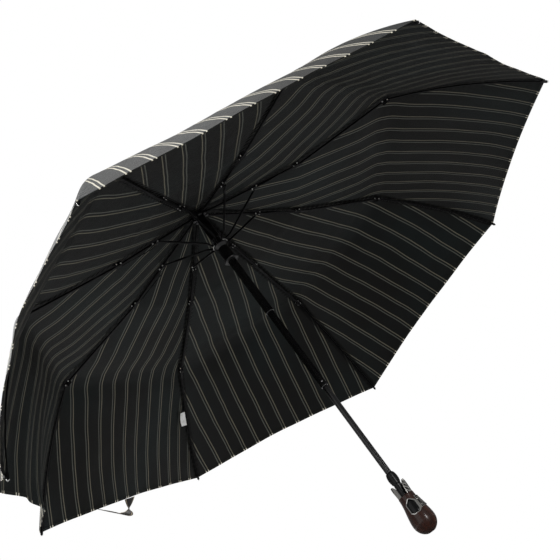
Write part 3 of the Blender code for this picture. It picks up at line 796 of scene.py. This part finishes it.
def sweep(path, radius, sides=8, closed=False):
    """A round wire along a path of points."""
    path = [Vector(p) for p in path]
    count = len(path)
    rings, normal = [], None
    for i, place in enumerate(path):
        before = path[i - 1] if i or closed else path[0]
        after = path[(i + 1) % count] if i < count - 1 or closed else path[-1]
        tangent = (after - before).normalized()
        if normal is None:
            normal = tangent.orthogonal().normalized()
        normal = (normal - tangent * normal.dot(tangent)).normalized()
        other = tangent.cross(normal)
        turns = [math.tau * k / sides for k in range(sides)]
        rings.append([place + radius * (math.cos(a) * normal + math.sin(a) * other) for a in turns])
    return stack(rings, closed)


def closed_angles(count):
    return np.linspace(0, math.tau, count + 1)[:-1]


def ring(radius, wire, height, segments=64, sides=10):
    return sweep([polar(radius, a, height) for a in closed_angles(segments)], wire, sides, closed=True)


def arc_wire(radius, wire, height, middle, half):
    """A bright steel wire along part of a rim, from middle - half to middle + half, used as a painted
    highlight.
    """
    angles = np.linspace(middle - half, middle + half, 21)
    return sweep([polar(radius, a, height) for a in angles], wire)


# ---------------------------------------------------------------- rib hardware


def rivets(rib, place, aside, sides=(-1, 1)):
    """Domed rivet heads beside a bar."""
    foot, buried = 0.12 * MM, -0.4 * MM
    rise = RIVET_DOME - foot
    profile = [(0, buried), (RIVET_R, buried), (RIVET_R, foot)]
    profile += [(RIVET_R * math.cos(a), foot + rise * math.sin(a)) for a in (0.4, 0.8, 1.2)]
    profile.append((0, RIVET_DOME))
    head = lathe(profile, 14)
    return [moved(head, facing_across(rib, place, aside * side, side)) for side in sides]


def facing_across(rib, place, aside=0.0, side=1):
    """A placement at a point of a rib plane, with z along the tangent or against it."""
    turn = (across_rib(rib) * side).to_track_quat("Z", "Y").to_matrix().to_4x4()
    return Matrix.Translation(in_rib(rib, place, aside)) @ turn


def rib_hardware(materials):
    for rib in range(RIBS):
        number = rib + 1
        hub, knee, elbow, tip = rib_points(rib)
        pin = far_end("stretcher", rib, pivot("stretcher", rib), BAR_END)
        main, middle, outer = unit(knee - hub), unit(elbow - knee), unit(tip - elbow)
        heads = rivets(rib, knee, BESIDE_MAIN)
        heads += rivets(rib, knee - main * PIN_STEP - (0, 1.9 * MM), BESIDE_MAIN)
        heads += rivets(rib, pin, BESIDE_PIN, (-1,))
        heads += rivets(rib, pin + main * 8 * MM + (0, 2.2 * MM), BESIDE_LINK)
        hardware(f"main_rivets_{number}", f"main_rib_{number}", heads, materials)
        heads = rivets(rib, elbow, BESIDE_MIDDLE)
        heads += rivets(rib, elbow - middle * PIN_STEP + (0, 1.7 * MM), BESIDE_MIDDLE)
        hardware(f"middle_rivets_{number}", f"middle_rib_{number}", heads, materials)
        heads = rivets(rib, pin, BESIDE_STRETCHER, (1,))
        hardware(f"stretcher_rivet_{number}", f"stretcher_{number}", heads, materials)
        eyelet = moved(ring(1.5 * MM, 0.32 * MM, 0, 20, 6), facing_across(rib, tip - outer * 0.4 * MM))
        hardware(f"tip_eyelet_{number}", f"outer_rib_{number}", [eyelet], materials)
        below = np.array([main[1], -main[0]])
        link = [pin + main * 2 * MM - below * 0.4 * MM, pin + main * 12 * MM + below * 1.6 * MM]
        for back, down in ((22, 3.4), (9, 3.0), (3, 1.2)):
            link.append(knee - main * back * MM + below * down * MM)
        path = [in_rib(rib, place, LINK_ASIDE) for place in link]
        wire = sweep(path, WIRE_R)
        piece(f"link_wire_{number}", wire, materials["rib_enamel"], f"main_rib_{number}")


def hardware(name, body, shapes, materials):
    piece(name, merge(shapes), materials["steel"], body)


# ---------------------------------------------------------------- shaft


def fluted_tube(node, body, depth, materials):
    """A drawn tube with lengthwise flutes, a rolled lip at each end and crimps near its lower end."""
    low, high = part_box(node)
    outer = high.x
    inner = outer - TUBE_WALL
    z0, z1 = low.z, high.z

    def outline(radius, height, angle):
        if radius < inner + 0.1 * MM:
            return radius
        from_end = min(height - z0, z1 - height)
        share = min(1.0, max(0.0, (from_end - 3 * MM) / (5 * MM)))
        groove = (0.5 - 0.5 * math.cos(FLUTES * angle)) ** 3
        crimp = 0.0
        for turn in range(4):
            off = math.remainder(angle - turn * math.pi / 2 - 0.4, math.tau) * outer
            rise = height - z0 - 6 * MM
            crimp += math.exp(-(off**2 + rise**2) / (1.1 * MM) ** 2)
        return radius - depth * groove * share - 0.45 * MM * min(1.0, crimp)

    heights = [z0 + d * MM for d in (0.25, 1, 2, 3, 4, 5, 6, 7, 8, 9, 11)]
    heights += list(np.linspace(z0 + 16 * MM, z1 - 10 * MM, 8))
    heights += [z1 - d * MM for d in (6, 4, 3, 1, 0.25)]
    lip = outer - 0.25 * MM
    profile = [(inner, z0), (lip, z0)] + [(outer, z) for z in heights] + [(lip, z1), (inner, z1)]
    tube = lathe(profile, 96, outline)
    piece(f"{node}_fluted", tube, materials["tube_enamel"], body, node, 50)


def dress_shaft(materials):
    fluted_tube("bottom_tube", "handle", 0.45 * MM, materials)
    fluted_tube("middle_tube", "middle_shaft", 0.3 * MM, materials)
    fluted_tube("top_tube", "top_shaft", 0.2 * MM, materials)
    low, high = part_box("runner")
    edge = high.x - 0.2 * MM
    # Painted highlights: two bright steel arcs on the upper flange, only at its sides, stand in for
    # crescents of light; the lower ring runs all the way round.
    ring_and_highlight_arcs = [arc_wire(edge, 0.5 * MM, high.z - 2.6 * MM, FACING + turn, 0.75) for turn in (1.45, -1.45)]
    ring_and_highlight_arcs.append(ring(high.x - 0.75 * MM, 0.28 * MM, low.z + 2.0 * MM))
    hardware("runner_rims", "runner", ring_and_highlight_arcs, materials)


# ---------------------------------------------------------------- handle

GRIP_TOP_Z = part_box("grip")[1].z
BULB_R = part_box("grip")[1].x
BULB_Z = BULB_R
GRIP_TOP_R = 10.8 * MM
FOOT_R = 5 * MM
LOBES = (math.radians(60), math.radians(240))
BUTTON_Z = 36.5 * MM
BUTTON_FRAME = (7.4 * MM, 10.4 * MM)
BUTTON_POCKET = (6.4 * MM, 9.4 * MM)

# Distances from the shaft's axis: the floor of the button's pocket, the ledge round it, the back of the
# frame and of the button, and where the two cuts into the wood start.
POCKET_FLOOR = 5.7 * MM
LEDGE = 7.7 * MM
FRAME_BACK = 8.2 * MM
BUTTON_BACK = 8.35 * MM
OUTSIDE_GRIP = 25 * MM
ABOVE_LEDGE = 12 * MM

# Heights inside the grip: the floor of its neck socket, the shoulder below it and the end of the bore.
SOCKET_FLOOR = 49.4 * MM
SHOULDER = 44 * MM
BORE_END = 16 * MM


def grip_radius(z):
    """Outside of the turned grip: a round bulb that narrows evenly to the neck."""
    if z < BULB_Z:
        return BULB_R * math.sqrt(max(0.0, 1 - ((BULB_Z - z) / (1.053 * BULB_Z)) ** 2))
    share = min(1.0, (z - BULB_Z) / (GRIP_TOP_Z - BULB_Z))
    return GRIP_TOP_R + (BULB_R - GRIP_TOP_R) * (0.5 + 0.5 * math.cos(math.pi * share**0.95))


def facing(out, aside, height):
    """A point out from the shaft's axis the way the button faces, and aside from the button's middle."""
    cos, sin = math.cos(FACING), math.sin(FACING)
    return Vector((out * cos - aside * sin, out * sin + aside * cos, height))


def on_grip(aside, height, above):
    return facing(math.sqrt((grip_radius(height) + above) ** 2 - aside**2), aside, height)


def shield(left, right, bottom, top):
    """A five-sided outline with its point up and small round corners, as (aside, up) pairs."""
    corner, per_edge = 0.9 * MM, 7
    foot, shoulder = 0.28 * -bottom, 0.45 * top
    outline = [(0.6 * left, bottom), (0.6 * right, bottom), (right, bottom + foot), (right, shoulder)]
    outline += [(0.12 * right, top), (0.12 * left, top), (left, shoulder), (left, bottom + foot)]
    outline = [Vector(point) for point in outline]
    points = []
    for i, here in enumerate(outline):
        before, after = outline[i - 1], outline[(i + 1) % len(outline)]
        radius = min(corner, 0.4 * (before - here).length, 0.4 * (after - here).length)
        into = here + (before - here).normalized() * radius
        out = here + (after - here).normalized() * radius
        for t in (0.0, 0.35, 0.65):
            points.append(into * (1 - t) ** 2 + here * 2 * t * (1 - t) + out * t**2)
        leave = after + (here - after).normalized() * min(corner, 0.4 * (after - here).length)
        points += [out.lerp(leave, k / per_edge) for k in range(per_edge)]
    return points


def frame_outline(grow):
    """The chrome frame's outer edge, grown by a margin."""
    wide, high = BUTTON_FRAME
    return shield(-wide - grow, wide + grow, -high - grow, high + grow)


def button_outline(shrink):
    """The opening of the frame: its right-hand bar is the widest side."""
    wide, high = BUTTON_FRAME
    left, right = -wide + 1.1 * MM + shrink, wide - 2.3 * MM - shrink
    return shield(left, right, -high + 1.1 * MM + shrink, high - 1.4 * MM - shrink)


def raised(outline, above):
    return [on_grip(aside, BUTTON_Z + up, above) for aside, up in outline]


def sunk(outline, out):
    return [facing(out, aside, BUTTON_Z + up) for aside, up in outline]


def chrome_frame(materials):
    """A bevelled frame with a lip over the edge of its pocket."""
    rings = [sunk(frame_outline(0), FRAME_BACK)]
    rings += [raised(frame_outline(grow), 0.05 * MM) for grow in (0, 0.35 * MM)]
    rings += [raised(frame_outline(0.35 * MM), 0.55 * MM), raised(frame_outline(0.05 * MM), 0.95 * MM)]
    rings += [raised(button_outline(-0.3 * MM), 0.95 * MM), raised(button_outline(0), 0.6 * MM)]
    rings.append(sunk(button_outline(0), FRAME_BACK))
    bezel = stack(rings, closed=True)
    piece("chrome_frame", bezel, materials["chrome"], "handle", "button_bezel", 30)


def crowned_button(materials):
    gap = 0.3 * MM
    rings = [sunk(button_outline(gap), BUTTON_BACK), raised(button_outline(gap), 0.85 * MM)]
    for inset, above in ((0.2, 1.15), (0.8, 1.38), (2.0, 1.5), (3.2, 1.53)):
        rings.append(raised(button_outline(gap + inset * MM), above * MM))
    button, plastic = stack(rings, closed=False), materials["button_plastic"]
    piece("crowned_button", button, plastic, "button", "push_button", 30)


def turned_grip(materials):
    """The wooden grip with its neck socket and the pocket for the button."""
    neck, socket, bore = 10.0 * MM, 5.65 * MM, 4.5 * MM
    heights = [BULB_Z * (1 - math.cos(a)) for a in np.linspace(0.26, math.pi / 2, 16)]
    heights += list(np.linspace(BULB_Z, GRIP_TOP_Z - 0.6 * MM, 30)[1:])
    profile = [(0, 0), (FOOT_R, 0)] + [(grip_radius(z), z) for z in heights]
    profile += [(GRIP_TOP_R - 0.15 * MM, GRIP_TOP_Z - 0.2 * MM), (GRIP_TOP_R - 0.45 * MM, GRIP_TOP_Z)]
    profile += [(neck, GRIP_TOP_Z), (neck, SOCKET_FLOOR), (socket, SOCKET_FLOOR)]
    profile += [(socket, SHOULDER), (bore, SHOULDER), (bore, BORE_END), (0, BORE_END)]
    shape = lathe(profile, 112)
    wood = piece("turned_grip", shape, materials["wood"], "handle", "grip", 35)
    outline = frame_outline(0.25 * MM)
    carve(wood, stack([sunk(outline, LEDGE), sunk(outline, OUTSIDE_GRIP)], closed=False))
    wide, high = BUTTON_POCKET
    outline = shield(-wide, wide, -high, high)
    carve(wood, stack([sunk(outline, POCKET_FLOOR), sunk(outline, ABOVE_LEDGE)], closed=False))
    wood.data.set_sharp_from_angle(angle=math.radians(35))


def carve(obj, shape):
    """Cuts a closed shape out of a mesh."""
    cutter = mesh_object("cutter", *shape, obj.data.materials[0])
    cut = obj.modifiers.new("cut", "BOOLEAN")
    cut.object = cutter
    cut.operation = "DIFFERENCE"
    bpy.context.view_layer.update()
    carved = bpy.data.meshes.new_from_object(obj.evaluated_get(bpy.context.evaluated_depsgraph_get()))
    obj.modifiers.remove(cut)
    obj.data = carved
    bpy.data.objects.remove(cutter, do_unlink=True)


def over_square(surface, columns, rows):
    return [surface(c / columns, r / rows) for r in range(rows + 1) for c in range(columns + 1)]


def plate(outer, inner, columns, rows):
    """A closed shell between two surfaces given over the unit square."""
    points = over_square(outer, columns, rows) + over_square(inner, columns, rows)
    width, base = columns + 1, len(points) // 2
    faces = []
    for r in range(rows):
        for c in range(columns):
            a = r * width + c
            faces.append((a, a + 1, a + width + 1, a + width))
            faces.append((base + a, base + a + width, base + a + width + 1, base + a + 1))
    edge = list(range(columns)) + [r * width + columns for r in range(rows)]
    edge += [rows * width + c for c in range(columns, 0, -1)] + [r * width for r in range(rows, 0, -1)]
    for a, b in zip(edge, edge[1:] + edge[:1]):
        faces.append((b, a, base + a, base + b))
    return points, faces


def scroll(x, y, turn, reach):
    """A raised spiral seen from its centre, 0 to 1."""
    radius, angle = math.hypot(x, y), math.atan2(y, x)
    phase = (radius / (0.42 * reach) - turn * angle / math.tau) % 1
    ridge = max(0.0, 1 - (abs(phase - 0.5) / 0.34) ** 2)
    return ridge * min(1.0, max(0.0, (reach - radius) / (0.25 * reach)))


def scrollwork(u, v):
    """Leaf scrolls inside a plain border."""
    border = 1.0 if min(u, 1 - u) < 0.07 or min(v, 1 - v) < 0.045 else 0.0
    height = 1.9 * v
    scrolls = ((0.36, 0.42, 1, 0.36), (0.66, 0.9, -1, 0.38), (0.34, 1.42, 1, 0.36), (0.72, 1.72, -1, 0.2))
    inner = max(scroll(u - x, height - y, turn, reach) for x, y, turn, reach in scrolls)
    dots = max(0.0, 1 - math.hypot(u - 0.78, height - 0.3) / 0.13)
    return max(border, inner, min(1.0, 1.6 * dots))


def leaf(u, v):
    """A leaf with a midrib and slanting veins, raised from a dark ground."""
    off = abs(2 * u - 1)
    rim = 1.0 if off > 0.84 else 0.0
    midrib = max(0.0, 1 - (off / 0.13) ** 2)
    vein = max(0.0, math.sin(math.tau * (5.0 * v - 1.1 * off)))
    return max(rim, midrib, 0.85 * vein**0.7 * min(1.0, (1 - off) / 0.2))


def chrome(name, shape, heights, node, materials):
    """A chrome piece on the grip, with each point's height in the relief for its material."""
    made = piece(name, shape, materials["ornament"], "handle", node, 50)
    paint_uv(made, "relief", [(height, 0) for height in heights])


def ornament(materials):
    """Chrome scrollwork over the skin of the grip, from the frame's wide bar round to the side."""
    depth, columns, rows = 0.6 * MM, 34, 60
    low, high = 28.2 * MM, 46.4 * MM

    def place(u, v, above):
        z = low + (high - low) * v - (1.4 * u + 0.5 * abs(math.sin(3 * math.pi * u))) * MM * (2 * v - 1)
        near_bar = math.asin((BUTTON_FRAME[0] + 0.3 * MM) / (grip_radius(z) + 0.5 * MM))
        angle = FACING + near_bar + (math.radians(97) - near_bar) * u
        return polar(grip_radius(z) + above, angle, z)

    def outside(u, v):
        return place(u, v, 0.55 * MM + depth * scrollwork(u, v))

    def inside(u, v):
        return place(u, v, 0.06 * MM)

    shape = plate(outside, inside, columns, rows)
    chrome("side_scrollwork", shape, over_square(scrollwork, columns, rows) * 2, "side_ornament", materials)


def cup_lobes(materials):
    """The chrome cup in the socket of the grip, with a tongue-shaped lobe on two sides."""
    base, rim = 49.8 * MM, 52.7 * MM
    inner, outer, wall = 5.6 * MM, 9.65 * MM, 0.9 * MM
    inside_base = base + 1.1 * MM
    profile = [(inner, base), (outer, base), (outer, rim), (outer - wall, rim)]
    profile += [(outer - wall, inside_base), (inner, inside_base)]
    segments = 72
    shapes, heights = [lathe(profile, segments)], [1.0] * len(profile) * segments
    foot, top, columns, rows = rim - 2 * MM, 71.2 * MM, 26, 34
    for centre in LOBES:

        def place(u, v, above, centre=centre):
            rise = 1 - (1 - v) ** 1.5
            half = math.radians(36) * (1 - rise**3.2) ** 0.55 + 0.004
            radius = outer + 0.9 * MM * math.sin(math.pi / 2 * rise) + above
            angle = FACING + centre + half * (2 * u - 1)
            return polar(radius, angle, foot + (top - foot) * rise)

        def outside(u, v, place=place):
            return place(u, v, 0.45 * MM * leaf(u, v))

        def inside(u, v, place=place):
            return place(u, v, -0.85 * MM)

        shapes.append(plate(outside, inside, columns, rows))
        heights += over_square(leaf, columns, rows) + [1.0] * (columns + 1) * (rows + 1)
    chrome("cup_lobes", merge(shapes), heights, "handle_cup", materials)


def dress_handle(materials):
    turned_grip(materials)
    chrome_frame(materials)
    crowned_button(materials)
    ornament(materials)
    cup_lobes(materials)


def keep_nodes(materials):
    """CAD nodes whose shape is shown as it is, each with its own finish."""
    finishes = {
        "rib_enamel": ("main_rib", "middle_rib", "outer_rib", "stretcher"),
        "plastic": ("crown_notch", "crown_sleeve", "ferrule_cap", "runner", "neck_sleeve", "neck_collar"),
        "steel": ("crown_wire", "runner_wire", "button_spring"),
    }
    for finish, kinds in finishes.items():
        for name, node in NODES.items():
            if name.rstrip("_12345678") in kinds:
                node.data.materials.clear()
                node.data.materials.append(materials[finish])


# ---------------------------------------------------------------- strap and label


def hem_point(canopy, gore, share):
    return Vector(canopy.points[-1, gore * GORE_COLUMNS + round(share * GORE_COLUMNS)])


def bezier(controls, t):
    """A point of a cubic curve and its direction there."""
    a, b, c, d = controls
    point = a * (1 - t) ** 3 + b * 3 * t * (1 - t) ** 2 + c * 3 * t * t * (1 - t) + d * t**3
    tangent = (b - a) * (1 - t) ** 2 + (c - b) * 2 * t * (1 - t) + (d - c) * t * t
    return point, tangent.normalized()


def closure_strap(canopy, materials):
    """A loop of canopy cloth: it leaves the hem flat, turns on itself and comes back to the hem."""
    first, last = (hem_point(canopy, STRAP_GORE, share) + HANGING * 1.5 * MM for share in STRAP_ENDS)
    along = (last - first).normalized()
    turned_width = along.cross(HANGING)
    second = first + HANGING * STRAP_DROP[0]
    third = first.lerp(last, 0.1) + HANGING * STRAP_DROP[1]
    controls = (first, second, third, last)
    start, end = STRAP_TURN
    across = (-1, -0.96, -0.8, 0.8, 0.96, 1)
    rings, edges = [], []
    for step in range(STRAP_STEPS + 1):
        share = step / STRAP_STEPS
        centre, tangent = bezier(controls, share)
        turn = math.pi / 2 * min(1.0, max(0.0, (share - start) / (end - start)))
        width = along * math.cos(turn) + turned_width * math.sin(turn)
        width = (width - tangent * width.dot(tangent)).normalized()
        normal = tangent.cross(width)
        sag = 0.4 * MM * math.sin(9 * share)
        ring_points = []
        for side in (1, -1):
            for place in across if side > 0 else across[::-1]:
                thick = STRAP_THICK * (0.5 if abs(place) < 0.98 else 0.3)
                off = normal * (side * thick + sag * place)
                ring_points.append(centre + width * place * STRAP_WIDTH / 2 + off)
                edges.append((place * STRAP_WIDTH / 2, share))
        rings.append(ring_points)
    shape, cloth = stack(rings, closed=False), materials["strap"]
    strap = piece("strap_loop", shape, cloth, "outer_rib_7", "closure_strap")
    paint_uv(strap, "weave", edges)
    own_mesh(strap)


def strap_cloth():
    """Dark cloth with a thin pale line near each edge."""
    s = Shader("strap")
    across, _, _ = s.uv("weave")
    lines = near(s, s.math("ABSOLUTE", across), STRAP_WIDTH / 2 - 2.2 * MM, 0.55 * MM, 0.3 * MM)
    yarn = s.noise(900.0, 2.0)
    cloudy = s.noise(60.0, 3.0)
    ground = s.blend(cloudy, (0.008, 0.007, 0.006), (0.02, 0.017, 0.014))
    tone = s.blend(s.times(lines, s.range(yarn, 0.6, 1.0)), ground, (0.5, 0.4, 0.27))
    normal = s.bump(yarn, 0.1 * MM, 0.5)
    return s.finish(Base_Color=tone, Roughness=0.5, Normal=normal, Specular_IOR_Level=0.2)


def care_label(materials):
    """A woven tag sewn into the seam of rib 6, a little off the next gore, its free corner turned up."""
    rib = LABEL_RIB
    _, _, elbow, tip = rib_points(rib)
    slope = math.atan2(tip[1] - elbow[1], tip[0] - elbow[0])
    length, width, thickness = LABEL
    along = Vector((math.cos(slope), 0, math.sin(slope)))
    up = Vector((-math.sin(slope), 0, math.cos(slope)))
    chord = Vector((-math.sin(RIB_STEP / 2), math.cos(RIB_STEP / 2), 0))
    away = chord * math.cos(LABEL_HANG) - up * math.sin(LABEL_HANG)
    start = elbow + (tip - elbow) * LABEL_PLACE
    corner = Vector((start[0], 2.8 * MM, start[1])) + up * 7.5 * MM
    through = along.cross(away).normalized()
    turn = Matrix.Rotation(rib * RIB_STEP, 3, "Z")

    def place(u, v, depth):
        bow = 1.0 * MM * math.sin(math.pi * v) * u - 1.6 * MM * u * u * (1 - v) ** 2
        return turn @ (corner + along * length * v + away * width * u + through * (bow + depth))

    shape = plate(lambda u, v: place(u, v, 0), lambda u, v: place(u, v, -thickness), 10, 18)
    piece("care_tag", shape, materials["tape"], "outer_rib_6", "care_label")


# ---------------------------------------------------------------- stage

FLOOR_RADIUS = 6.0
FLOOR_FADE = (0.8, 1.9)
CAMERA_PLACE = Vector((1.0761, 0.1766, -0.0974))
CAMERA_RIGHT = Vector((-0.34784, 0.75769, -0.55219))
CAMERA_UP = Vector((0.24726, 0.64225, 0.72552))
CAMERA_LENS = 54.08
# Strength of the white surroundings as light and in reflections; the camera itself sees plain white.
DIM_STUDIO = 0.3
GLOSSY_STUDIO = 0.2


def floor():
    """A pale floor that the grip stands on, seen only from above. It lets light through from below."""
    s = Shader("floor")
    mottle = s.noise(3.0, 3.0)
    surface = s.finish(Base_Color=s.blend(mottle, (0.86, 0.86, 0.86), (0.9, 0.9, 0.9)), Roughness=0.6)
    x, y, _ = s.split(s.place())
    away = s.math("SQRT", s.plus(s.times(x, x), s.times(y, y)))
    below = s.add("ShaderNodeNewGeometry", output="Backfacing")
    unseen = s.math("MAXIMUM", below, s.fade(away, *FLOOR_FADE))
    clear = s.add("ShaderNodeBsdfTransparent")
    either = s.add("ShaderNodeMixShader", {0: unseen, 1: s.surface.outputs[0], 2: clear})
    s.put(s.tree.nodes["Material Output"].inputs["Surface"], either)
    circle = [polar(FLOOR_RADIUS, a, -0.3 * MM) for a in closed_angles(64)]
    disc = mesh_object("floor", circle, [tuple(range(len(circle)))], surface)
    if disc.data.polygons[0].normal.z < 0:
        disc.data.flip_normals()
    disc.visible_shadow = False


def area_light(name, place, target, size, power):
    data = bpy.data.lights.new(name, "AREA")
    data.shape = "RECTANGLE"
    data.size, data.size_y = size
    data.energy = power
    light = added(name, data)
    light.location = place
    light.visible_camera = False
    light.rotation_mode = "QUATERNION"
    light.rotation_quaternion = (Vector(target) - Vector(place)).to_track_quat("-Z", "Y")


def camera():
    back = CAMERA_RIGHT.cross(CAMERA_UP).normalized()
    data = bpy.data.cameras.new("camera")
    data.lens = CAMERA_LENS
    data.sensor_width = 36
    data.clip_start = 0.02
    view = added("camera", data)
    turn = Matrix((CAMERA_RIGHT, CAMERA_UP, back)).transposed().to_4x4()
    view.matrix_world = Matrix.Translation(CAMERA_PLACE) @ turn
    bpy.context.scene.camera = view
    return back


def lights(back):
    middle = Vector((0, 0, 0.4))
    side, up = CAMERA_RIGHT, CAMERA_UP
    area_light("key", CAMERA_PLACE + back * 0.4 + up * 1.1 + side * 0.9, middle, (0.3, 0.9), 13)
    area_light("fill", CAMERA_PLACE + back * 0.3 - side * 1.3 + up * 0.2, middle, (1.6, 1.6), 4)
    area_light("behind_left", middle - back * 0.9 - side * 1.6 + up * 0.5, middle, (1.2, 1.2), 22)
    left_hem = middle - side * 0.45 - up * 0.1
    area_light("left_glare", left_hem - back * 0.15 - side * 0.55, left_hem, (0.5, 0.5), 6)
    area_light("top", (0.2, 0.3, 2.4), middle, (1.8, 1.8), 30)
    world = bpy.data.worlds.new("studio")
    world.use_nodes = True
    tree = world.node_tree
    tree.nodes["Background"].inputs["Color"].default_value = (1, 1, 1, 1)
    path = tree.nodes.new("ShaderNodeLightPath")
    strength = None
    for ray, value in (("Is Glossy Ray", GLOSSY_STUDIO), ("Is Camera Ray", 1.0)):
        choice = tree.nodes.new("ShaderNodeMix")
        tree.links.new(path.outputs[ray], choice.inputs[0])
        choice.inputs[2].default_value = DIM_STUDIO
        if strength:
            tree.links.new(strength, choice.inputs[2])
        choice.inputs[3].default_value = value
        strength = choice.outputs[0]
    tree.links.new(strength, tree.nodes["Background"].inputs["Strength"])
    bpy.context.scene.world = world
    bpy.context.scene.view_settings.view_transform = "Standard"


def main():
    materials = make_materials()
    keep_nodes(materials)
    canopy = dress_ribs(materials)
    rib_hardware(materials)
    dress_shaft(materials)
    dress_handle(materials)
    closure_strap(canopy, materials)
    care_label(materials)
    floor()
    lights(camera())


main()
